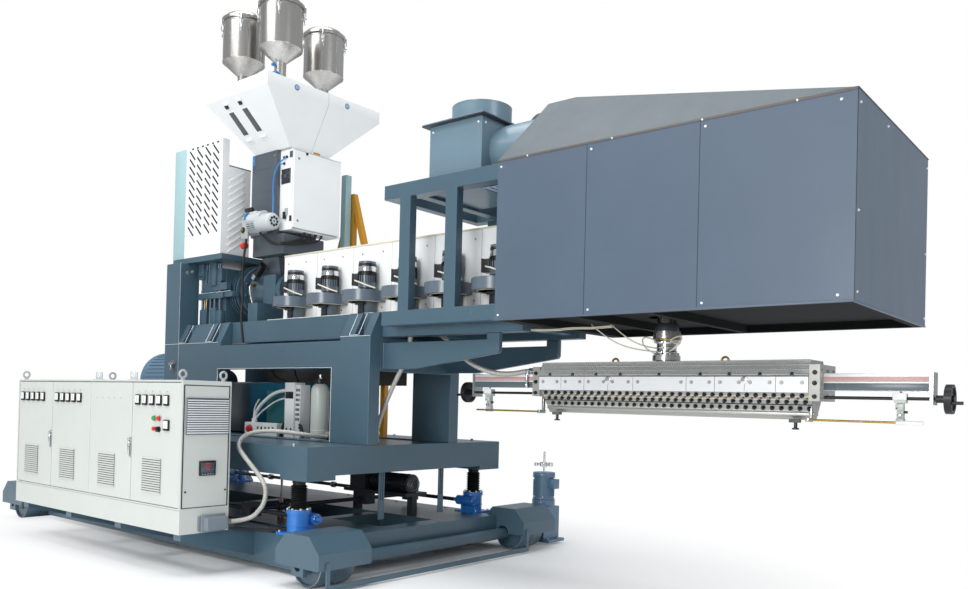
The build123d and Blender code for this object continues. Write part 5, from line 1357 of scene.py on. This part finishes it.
def ductDetails():
    parts, spots = [], []
    # dark strip painted as the shade under the flange
    parts.append(slab((2.444, -0.482, 3.276), (3.022, 0.194, 3.2845), "dark", 0.001))
    parts.append(lathe([(0.214, 3.436), (0.2215, 3.438), (0.2225, 3.446), (0.218, 3.4475), (0.2135, 3.444),
                        (0.2135, 3.436)], (2.733, -0.144, 0), "duct", 64))
    settle(joined(parts, "ductLips"), "lift", "duct_paint")
    for x in (2.52, 2.946):
        for z in (2.83, 3.236):
            spots.append(((x, -0.4385, z), (0, -1, 0)))
    for y in (-0.4, 0.11):
        for z in (2.83, 3.236):
            spots.append(((2.9785, y, z), (1, 0, 0)))
    seams = [ring((3.15, 0, 3.058), 0.2055, 0.005, "x", "duct", 64, 8),
             ring((3.352, 0, 3.058), 0.2055, 0.005, "x", "duct", 64, 8)]
    settle(joined(seams, "ductSeams"), "lift", "duct_paint")
    bolts("ductScrews", spots, 0.006, 0.005, "lift", "white_paint", "white")
    tray = [slab((2.99, -0.43, 2.762), (3.36, 0.43, 2.7675), "tray", 0.001)]
    for n in range(7):
        tray.append(slab((3.0 + n * 0.052, -0.425, 2.7595), (3.008 + n * 0.052, 0.425, 2.7625), "dark", 0))
    settle(joined(tray, "standTray"), "lift", "frame_paint")
    latch = [slab((3.245, -0.556, 1.846), (3.345, -0.55, 1.872), "steel", 0.003),
             drum((3.29, -0.562, 1.859), 0.008, 0.075, "x", "chrome", 0.002, 14),
             slab((3.318, -0.566, 1.838), (3.338, -0.552, 1.88), "steel", 0.004)]
    settle(joined(latch, "standLatch"), "lift", "steel")


ductDetails()

hood = {"left": 3.366, "right": 5.535, "near": -0.741, "low": 1.8, "high": 2.822, "seams": (4.031, 4.738)}


def hoodDetails():
    left, right, near = hood["left"], hood["right"], hood["near"]
    spots = []
    edges = [left, *hood["seams"], right]
    for x0, x1 in zip(edges, edges[1:]):
        for x in ((x0 + 0.03,) if x1 < right else (x0 + 0.03, x1 - 0.075)):
            for z in (hood["low"] + 0.034, hood["high"] - 0.045):
                spots.append(((x, near - 0.0005, z), (0, -1, 0)))
                spots.append(((x, -near + 0.0005, z), (0, 1, 0)))
    for y, z in ((-0.7, 2.76), (-0.2, 2.775), (0.7, 2.76), (-0.705, 2.24), (-0.7, 1.85), (0.705, 2.24),
                 (0.7, 1.85)):
        spots.append(((right + 0.0005, y, z), (1, 0, 0)))
    for x in (3.6, 4.2, 4.75, 5.25):
        spots.append(((x, near - 0.0005, hood["high"] - 0.006), (0, -1, 0)))
    bolts("hoodScrews", spots, 0.0052, 0.006, "lift", "white_paint", "white")
    trim = [slab((left, near - 0.0035, hood["high"] - 0.012), (right, near + 0.004, hood["high"] + 0.003),
                 "flange", 0.002), slab((right - 0.004, near, hood["high"] - 0.002),
                                        (right + 0.0035, -near, hood["high"] + 0.003), "flange", 0.001)]
    settle(joined(trim, "hoodFlangeStrip"), "lift", "dark_paint")
    rims = [slab((left, near - 0.003, hood["low"] - 0.001), (right, near + 0.012, hood["low"] + 0.01), "hood",
                 0.002), slab((right - 0.012, near, hood["low"] - 0.001),
                              (right + 0.003, -near, hood["low"] + 0.01), "hood", 0.002)]
    for x in hood["seams"]:
        rims.append(slab((x - 0.0015, near - 0.0012, hood["low"] + 0.012),
                         (x + 0.0015, near + 0.002, hood["high"] - 0.014), "dark", 0))
    rims.append(slab((right - 0.0005, near + 0.0035, hood["low"] + 0.012),
                     (right + 0.0012, near + 0.0035 + 0.003, hood["high"] - 0.006), "dark", 0))
    settle(joined(rims, "hoodRims"), "lift", "hood_paint")


hoodDetails()
print("hood fitted")


# Die: woven mat, plates with bolts, bolt rows, end blocks, eye bolts

die = {"left": 3.307, "right": 5.137, "half": 0.118, "shoulder": 1.376, "lipHalf": 0.034,
       "lipTop": 1.262, "plate": 0.028, "pitch": 0.053,
       "edges": [3.307 + 0.183 * step for step in (0, 1, 2, 3, 4, 6, 7, 8, 9, 10)]}


def onDieSlant(share, x, side):
    # a point on the die's slanted lower face; share runs from the shoulder to the lip
    y = die["half"] + (die["lipHalf"] - die["half"]) * share
    return (x, side * y, die["shoulder"] + (die["lipTop"] - die["shoulder"]) * share)


def dieDetails():
    across, down = die["half"] - die["lipHalf"], die["shoulder"] - die["lipTop"]
    length = math.hypot(across, down)
    black, brass, silver = [], [], []
    count = int((die["right"] - die["left"] - 0.06) / die["pitch"]) + 1
    for side in (-1, 1):
        out = (0, side * down / length, -across / length)
        for n in range(count):
            x = die["left"] + 0.035 + n * die["pitch"]
            black += [(onDieSlant(0.13, x, side), out), (onDieSlant(0.44, x + 0.012, side), out),
                      (onDieSlant(0.76, x + 0.026, side), out)]
            brass.append((onDieSlant(0.29, x + 0.026, side), out))
        face = side * (die["half"] + die["plate"])
        for x0, x1 in zip(die["edges"], die["edges"][1:]):
            for x in (x0 + 0.034, x1 - 0.034):
                silver.append(((x, face, 1.432), (0, side, 0)))
            black.append((((x0 + x1) / 2, face * 0.985, 1.4745), (0, 0, 1)))
    for end, out in ((die["left"] - 0.0605, -1), (die["right"] + 0.0605, 1)):
        for y in (-0.1, 0.0, 0.1):
            for z in (1.36, 1.43, 1.5):
                silver.append(((end, y, z), (out, 0, 0)))
    for x in (die["left"] - 0.032, die["right"] + 0.032):
        for z in (1.355, 1.43, 1.49):
            black.append(((x, -0.1385, z), (0, -1, 0)))
    bolts("dieBoltRows", black, 0.0098, 0.016, "lift", "dark_paint", "black")
    bolts("dieBrassRow", brass, 0.0055, 0.01, "lift", "steel", "brass")
    bolts("diePlateBolts", silver, 0.0085, 0.008, "lift", "steel", "die")
    trim = []
    for side in (-1, 1):
        seam = [onDieSlant(0.6, die["left"] + 0.002, side), onDieSlant(0.6, die["right"] - 0.002, side)]
        trim.append(wire(seam, 0.003, "rubber", 2))
        for share in (0.2, 0.36, 0.9):
            line = [onDieSlant(share, die["left"] + 0.002, side),
                    onDieSlant(share, die["right"] - 0.002, side)]
            trim.append(wire(line, 0.0022, "plates", 2))
        trim.append(slab((die["left"], side * 0.1475 - 0.002, 1.4655),
                         (die["right"], side * 0.1475 + 0.002, 1.4735), "flange", 0.001))
        trim.append(slab((die["left"], side * 0.0355 - 0.002, 1.246),
                         (die["right"], side * 0.0355 + 0.002, 1.262), "die", 0.001))
        for x in (3.856, 4.771):
            trim.append(drum((x, side * 0.15, 1.444), 0.021, 0.01, "y", "chrome", 0.003, 28))
    for x in (3.86, 4.615):
        trim += eyeRing((x, -0.06, 1.53), 0.03, "y", "brass")
    for x in (3.372, 5.012):  # small catches under the lip
        trim += [slab((x - 0.01, -0.06, 1.205), (x + 0.05, -0.02, 1.225), "flange", 0.004),
                 drum((x + 0.026, -0.045, 1.186), 0.01, 0.04, "z", "dark", 0.002, 14),
                 drum((x + 0.026, -0.045, 1.17), 0.02, 0.01, "z", "dark", 0.003, 20)]
    settle(joined(trim, "dieTrim"), "lift", "die_steel")
    mat = []
    for side in (-1, 1):  # wires of the mat's edges
        for share in (0.02, 0.34, 0.66, 0.98):
            y = side * (0.1465 - 0.04 * share)
            mat.append(wire([(die["left"] + 0.002, y, 1.477 + 0.086 * share),
                             (die["right"] - 0.002, y, 1.477 + 0.086 * share)], 0.0035, "mat", 2))
    knot = wire([(0, -0.1475, 1.479), (0.012, -0.14, 1.5), (0.024, -0.128, 1.52), (0.036, -0.118, 1.54),
                 (0.048, -0.1075, 1.562)], 0.0022, "mat", 3)
    spread = int((die["right"] - die["left"] - 0.06) / 0.016)
    mat += repeated(knot, [(die["left"] + 0.004 + n * 0.016, 0, 0) for n in range(1, spread)])
    knot.data.transform(Matrix.Translation((die["left"] + 0.004, 0, 0)))
    cross = wire([(0.048, -0.1478, 1.48), (0.024, -0.129, 1.52), (0, -0.1078, 1.561)], 0.0022, "mat", 3)
    mat += repeated(cross, [(die["left"] + 0.004 + n * 0.016, 0, 0) for n in range(1, spread)])
    cross.data.transform(Matrix.Translation((die["left"] + 0.004, 0, 0)))
    settle(joined(mat, "dieMatWires"), "lift", "mat_grey")


dieDetails()


def meltPipeDetails():
    x, parts = 4.196, []
    for z, radius, height in ((1.69, 0.066, 0.022), (1.625, 0.068, 0.016), (1.655, 0.064, 0.01)):
        parts.append(drum((x, 0, z), radius, height, "z", "chrome", 0.003, 40))
        parts.append(slab((x - 0.014, -radius - 0.022, z - height / 2),
                          (x + 0.014, -radius + 0.004, z + height / 2), "chrome", 0.003))
    parts.append(drum((x, 0, 1.7085), 0.0895, 0.008, "z", "brass", 0.001, 48))
    parts.append(drum((x, 0, 1.785), 0.075, 0.05, "z", "dark", 0.004, 40))
    for n in range(8):
        turn = n * math.pi / 4
        parts.append(drum((x + 0.076 * math.cos(turn), 0.076 * math.sin(turn), 1.7), 0.009, 0.026, "z",
                          "steel", 0.002, 6))
        parts.append(drum((x + 0.076 * math.cos(turn), 0.076 * math.sin(turn), 1.612), 0.009, 0.02, "z",
                          "steel", 0.002, 6))
    settle(joined(parts, "meltPipeClamps"), "lift", "stainless")
    lines = []
    routes = (((3.9, -0.2, 1.802), (3.96, -0.215, 1.76), (4.05, -0.2, 1.69), (4.12, -0.13, 1.655),
               (4.16, -0.062, 1.65)),
              ((3.78, -0.24, 1.802), (3.86, -0.25, 1.74), (3.99, -0.23, 1.66), (4.11, -0.15, 1.63),
               (4.165, -0.064, 1.628)),
              ((4.15, -0.07, 1.7), (4.08, -0.11, 1.74), (4.09, -0.12, 1.65), (4.15, -0.08, 1.618)),
              ((4.25, -0.062, 1.7), (4.33, -0.08, 1.735), (4.345, -0.085, 1.69), (4.27, -0.07, 1.64)),
              ((4.255, -0.06, 1.692), (4.34, -0.07, 1.7), (4.3, -0.08, 1.65), (4.25, -0.065, 1.63)))
    for route in routes:
        lines.append(wire(list(route), 0.0045, "cream"))
    for z, y in ((1.79, -0.26), (1.784, -0.24), (1.792, -0.22)):  # loom under the hood's floor
        lines.append(wire([(3.3, y, z - 0.004), (3.48, y + 0.02, z - 0.012), (3.64, y - 0.01, z - 0.004),
                           (3.8, y + 0.01, z - 0.01), (3.92, y + 0.03, z)], 0.0045, "cream"))
    settle(joined(lines, "meltPipeWires"), "lift", "hose_grey")


meltPipeDetails()


# Deckle rails, clamps and the hose end

def railDetails():
    dark, pale, silver = [], [], []
    for x0, x1 in ((5.202, 5.73), (2.684, 3.242)):
        dark.append(slab((x0, -0.0875, 1.392), (x1, -0.0855, 1.432), "railShade", 0.001))
        pale.append(slab((x0, -0.089, 1.441), (x1, -0.0858, 1.466), "ruler", 0.001))
        silver.append(slab((x0, -0.0905, 1.432), (x1, -0.0858, 1.44), "plates", 0.001))
        silver.append(slab((x0, -0.0885, 1.467), (x1, -0.0858, 1.4855), "plates", 0.001))
        marks = int((x1 - x0) / 0.01)
        for n in range(marks):
            tall = 0.016 if n % 5 == 0 else 0.009
            pale.append(slab((x0 + 0.005 + n * 0.01, -0.0896, 1.465 - tall),
                             (x0 + 0.0062 + n * 0.01, -0.0889, 1.465), "red", 0, 1))
    for x, out in ((5.735, 1), (2.679, -1)):
        for y, z in ((-0.075, 1.475), (-0.005, 1.475), (-0.075, 1.335)):
            silver.append(drum((x + out * 0.014, y, z), 0.007, 0.008, "x", "die", 0.001, 6))
    silver += [drum((5.41, -0.104, 1.224), 0.006, 0.59, "x", "brass", 0, 16),
               drum((3.0, -0.104, 1.224), 0.006, 0.56, "x", "brass", 0, 16),
               drum((5.645, -0.104, 1.224), 0.011, 0.13, "x", "white", 0.003, 20),
               slab((5.112, -0.112, 1.212), (5.134, -0.036, 1.236), "steel", 0.003),
               slab((3.272, -0.112, 1.212), (3.294, -0.036, 1.236), "steel", 0.003),
               slab((5.116, -0.06, 1.212), (5.132, -0.036, 1.3), "steel", 0.003),
               slab((3.274, -0.06, 1.212), (3.29, -0.036, 1.332), "steel", 0.003)]
    settle(joined(dark + silver, "railFaces"), "lift", "steel")
    settle(joined(pale, "railRulers"), "lift", "steel")
    hoseEnd = [drum((3.228, -0.094, 1.507), 0.024, 0.03, "x", "chrome", 0.003, 6),
               drum((3.203, -0.094, 1.507), 0.022, 0.03, "x", "steel", 0.003, 32),
               drum((3.172, -0.105, 1.45), 0.009, 0.12, "z", "chrome", 0.002, 16),
               drum((3.172, -0.105, 1.41), 0.014, 0.02, "z", "chrome", 0.002, 6),
               slab((3.158, -0.112, 1.478), (3.186, -0.084, 1.52), "chrome", 0.004)]
    settle(joined(hoseEnd, "hoseFittings"), "lift", "steel")


def clampDetails(side, x):
    parts = [slab((x - 0.034, -0.088, 1.345), (x + 0.034, -0.0785, 1.382), "white", 0.003),
             drum((x, -0.052, 1.392), 0.006, 0.03, "z", "brass", 0.001, 12),
             slab((x - 0.02, -0.084, 1.29), (x + 0.02, -0.07, 1.325), "grey", 0.003),
             drum((x, -0.073, 1.262), 0.012, 0.024, "y", "steel", 0.002, 20),
             slab((x - 0.02, -0.076, 1.2125), (x + 0.02, -0.03, 1.245), "grey", 0.004),
             drum((x - 0.012, -0.082, 1.3), 0.004, 0.006, "y", "black", 0, 8),
             drum((x + 0.024, -0.052, 1.28), 0.007, 0.02, "x", "dark", 0.001, 12)]
    for n in range(4):
        parts.append(drum((x, -0.052, 1.25 + n * 0.018), 0.0195, 0.006, "z", "steel", 0.001, 24))
    return settle(joined(parts, side + "ClampTrim"), side + "_clamp", "steel")


railDetails()
clampDetails("right", 5.59)
clampDetails("left", 2.8)
print("die fitted")


# Services behind the window

def serviceDetails():
    tank = slab((-0.6, -0.06, 0.9285), (0.64, 0.33, 1.42), "tank", 0.02, 4)
    settle(tank, "lift", "dark_paint", "service_boxes")
    tank.name = "oilTank"
    parts = [slab((0.7, -0.3, 0.9285), (0.83, -0.18, 1.41), "white", 0.004),
             slab((0.835, -0.29, 0.9285), (0.9, -0.18, 1.39), "white", 0.003),
             slab((0.712, -0.3045, 1.27), (0.818, -0.299, 1.33), "black", 0.002),
             slab((0.08, -0.27, 0.9285), (0.56, -0.18, 1.045), "white", 0.005),
             slab((1.357, -0.4, 0.9285), (1.433, -0.34, 1.008), "box", 0.005)]
    for x in (0.735, 0.795):
        parts.append(drum((x, -0.301, 1.005), 0.01, 0.006, "y", "black", 0.001, 16))
    # the openings are dark slabs painted as the shade inside them
    for row in range(7):  # openings of the white side panel
        for column in range(3):
            parts.append(slab((0.843 + column * 0.018, -0.2915, 1.08 + row * 0.042),
                              (0.855 + column * 0.018, -0.2885, 1.104 + row * 0.042), "dark", 0))
    for n in range(5):
        parts.append(slab((0.27 + n * 0.055, -0.2715, 0.985), (0.292 + n * 0.055, -0.269, 1.01), "black",
                          0.001))
    parts += [drum((0.17, -0.285, 0.985), 0.03, 0.034, "y", "red", 0.008, 28),
              drum((0.17, -0.272, 0.985), 0.038, 0.008, "y", "steel", 0.002, 28),
              slab((0.24, -0.15, 1.0), (0.56, -0.07, 1.34), "tealDark", 0.01),
              drum((0.17, -0.225, 1.06), 0.026, 0.04, "z", "white", 0.006, 24),
              drum((1.395, -0.402, 0.966), 0.024, 0.016, "y", "brass", 0.002, 6),
              drum((1.86, -0.296, 0.94), 0.024, 0.024, "z", "brass", 0.002, 6)]
    settle(joined(parts, "serviceCabinets"), "lift", "white_paint")
    lines = [wire([(0.17, -0.225, 1.075), (0.185, -0.228, 1.12), (0.26, -0.235, 1.2), (0.42, -0.245, 1.29),
                   (0.56, -0.255, 1.335), (0.7, -0.26, 1.345)], 0.016, "white"),
             wire([(0.185, -0.225, 1.075), (0.23, -0.235, 1.11), (0.39, -0.25, 1.19), (0.56, -0.262, 1.26),
                   (0.7, -0.268, 1.275)], 0.007, "white"),
             wire([(0.155, -0.225, 1.075), (0.165, -0.23, 1.15), (0.205, -0.235, 1.22),
                   (0.245, -0.235, 1.255)], 0.007, "white")]
    settle(joined(lines, "serviceWires"), "lift", "white_paint")
    dark = [wire([(0.38, -0.2, 1.517), (0.43, -0.21, 1.47), (0.56, -0.235, 1.43), (0.72, -0.245, 1.409)],
                 0.011, "rubber"),
            wire([(0.7, -0.2, 1.517), (0.735, -0.21, 1.47), (0.79, -0.235, 1.435), (0.81, -0.24, 1.409)],
                 0.011, "rubber"),
            wire([(0.59, -0.24, 0.93), (0.6, -0.24, 1.0), (0.64, -0.24, 1.08), (0.7, -0.24, 1.15)],
                 0.013, "rubber"),
            wire([(0.64, -0.29, 0.93), (0.65, -0.285, 0.99), (0.665, -0.27, 1.06), (0.7, -0.25, 1.11)],
                 0.013, "rubber"),
            wire([(1.0, -0.33, 0.93), (0.975, -0.325, 0.985), (0.93, -0.3, 1.015), (0.9, -0.29, 1.02)],
                 0.012, "rubber"),
            wire([(1.04, -0.36, 0.93), (1.01, -0.35, 1.0), (0.96, -0.32, 1.04), (0.9, -0.29, 1.045)],
                 0.012, "rubber")]
    settle(joined(dark, "serviceCables"), "lift", "dark_paint")
    shelf = slab((-0.4, 0.336, 1.405), (1.56, 0.342, 1.528), "dusty", 0.001)
    settle(shelf, "lift", "dark_paint")
    shelf.name = "dustyBackStrip"
    x, y = 1.155, -0.285
    bottle = lathe([(0.04, 0.9285), (0.07, 0.931), (0.076, 0.945), (0.076, 1.33), (0.073, 1.36),
                    (0.062, 1.385), (0.045, 1.398), (0.038, 1.401)], (x, y, 0), "grey", 48)
    neck = lathe([(0.0375, 1.399), (0.038, 1.404), (0.038, 1.436), (0.03, 1.44), (0.019, 1.441)], (x, y, 0),
                 "black", 36)
    parts = [bottle, neck, ring((x, y, 1.01), 0.0765, 0.002, "z", "white", 48, 6),
             drum((x, y, 1.46), 0.012, 0.04, "z", "chrome", 0.002, 18),
             drum((x, y, 1.474), 0.018, 0.01, "z", "chrome", 0.002, 6)]
    settle(joined(parts, "accumulatorBottle"), "lift", "stainless", "accumulator")


serviceDetails()


# Drives

def finned(centre, radius, reach, length, axis, count, material):
    # a set of cooling fins round a motor
    fin = slab((radius, -0.0018, -length / 2), (reach, 0.0018, length / 2), material, 0, 1)
    fins = []
    tilt = Vector((0, 0, 1)).rotation_difference(Vector({"x": (1, 0, 0), "y": (0, 1, 0),
                                                         "z": (0, 0, 1)}[axis]))
    for n in range(count):
        twin = moved(fin, (0, 0, 0))
        twin.data.transform(Matrix.Translation(centre) @ tilt.to_matrix().to_4x4()
                            @ Matrix.Rotation(n * 2 * math.pi / count, 4, "Z"))
        fins.append(twin)
    discard(fin)
    return fins


def travelDriveDetails():
    x, y = 2.231, 1.498
    parts = finned((x, y, 0.505), 0.088, 0.0985, 0.15, "z", 28, "drive")
    parts += [lathe([(0.1, 0.601), (0.1025, 0.604), (0.1025, 0.64), (0.098, 0.647), (0.06, 0.6495),
                     (0.03, 0.65)], (x, y, 0), "drive", 48),
              drum((x, y, 0.412), 0.099, 0.018, "z", "drive", 0.003, 48),
              slab((x + 0.058, y - 0.047, 0.503), (x + 0.142, y + 0.047, 0.592), "drive", 0.008, 3),
              slab((x + 0.062, y - 0.05, 0.51), (x + 0.138, y - 0.046, 0.585), "drive", 0.004)]
    for n in range(6):
        turn = n * math.pi / 3
        parts.append(drum((x + 0.086 * math.cos(turn), y + 0.086 * math.sin(turn), 0.426), 0.009, 0.014, "z",
                          "steel", 0.002, 6))
    for dx in (-0.08, 0.08):
        for dy in (-0.1, 0.06):
            parts.append(drum((x + dx * 1.55, y + dy, 0.054), 0.012, 0.014, "z", "steel", 0.002, 6))
    parts.append(drum((x, y - 0.1065, 0.23), 0.072, 0.006, "y", "drive", 0.002, 40))
    for n in range(6):
        turn = n * math.pi / 3 + 0.3
        parts.append(drum((x + 0.058 * math.cos(turn), y - 0.111, 0.23 + 0.058 * math.sin(turn)), 0.007,
                          0.008, "y", "steel", 0.001, 6))
    settle(joined(parts, "travelDriveTrim"), "carriage", "frame_paint")
    dressed("travel_handwheel", "travel_wheel", "steel", "chrome", 0.003)


def liftDriveDetails():
    y, z = 0.33, 0.56
    parts = finned((1.44, y, z), 0.074, 0.084, 0.34, "x", 30, "dark")
    parts += [ring((1.24, y, z), 0.08, 0.006, "x", "dark", 48, 8),
              ring((1.62, y, z), 0.08, 0.006, "x", "dark", 48, 8)]
    for n in range(4):
        parts.append(ring((1.66 + n * 0.016, y, z), 0.072 - n * 0.008, 0.0022, "x", "steel", 40, 6))
    for sy in (-1, 1):
        for x in (-1.05, 0.0, 1.05):
            parts.append(drum((x, sy * 0.904, 0.39), 0.03, 0.05, "x", "steel", 0.004, 28))
    parts += [ring((1.1, -0.55, 0.39), 0.03, 0.004, "y", "steel", 24, 6),
              drum((1.1, -0.62, 0.39), 0.032, 0.06, "y", "dark", 0.004, 28)]
    settle(joined(parts, "liftDriveTrim"), "carriage", "dark_paint")
    torque = drum((1.986, 0, 0.255), 0.024, 1.5, "y", "chrome", 0, 28)
    settle(torque, "carriage", "steel")
    torque.name = "torqueTube"


def mainMotorDetails():
    z = 1.42
    parts = finned((-1.35, 0, z), 0.296, 0.3085, 0.62, "x", 44, "drive")
    parts += [lathe([(0.1, -0.04), (0.29, -0.038), (0.304, -0.026), (0.304, 0.03), (0.3, 0.036)],
                    (-1.712, 0, z), "drive", 64, "x")]
    settle(joined(parts, "mainMotorFins"), "lift", "dark_paint")


travelDriveDetails()
liftDriveDetails()
mainMotorDetails()


# Wiring that runs between the carriage and the lift, and on the carriage's deck

def looseWires():
    bunch = []
    for n in range(9):
        x = 1.035 + 0.011 * n
        kind = ("greyCable", "redCable", "greyCable", "cream", "redCable")[n % 5]
        bunch.append(wire([(x, -0.6 + 0.006 * (n % 3), 0.288), (x - 0.006 * (n - 4), -0.605, 0.4),
                           (x - 0.012 * (n - 4), -0.6, 0.56), (x - 0.004 * (n - 4), -0.6, 0.735)], 0.0055,
                          kind))
    piece = joined(bunch, "wireBunch")
    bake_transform(piece)
    deck = [wire([(1.415, -1.3, 0.318), (1.44, -1.18, 0.297), (1.52, -1.08, 0.2935), (1.64, -1.02, 0.2935),
                  (1.7, -0.94, 0.33), (1.715, -0.91, 0.372)], 0.008, "rubber"),
            wire([(1.415, -1.32, 0.318), (1.47, -1.2, 0.3), (1.56, -1.11, 0.293), (1.68, -1.045, 0.296),
                  (1.735, -0.95, 0.33), (1.745, -0.92, 0.372)], 0.008, "rubber"),
            wire([(1.415, -1.29, 0.314), (1.42, -1.15, 0.292), (1.5, -1.05, 0.29), (1.62, -0.985, 0.291),
                  (1.69, -0.93, 0.33)], 0.006, "redCable")]
    settle(joined(deck, "deckCables"), "carriage", "dark_paint")


looseWires()
print("services, drives and wiring fitted")
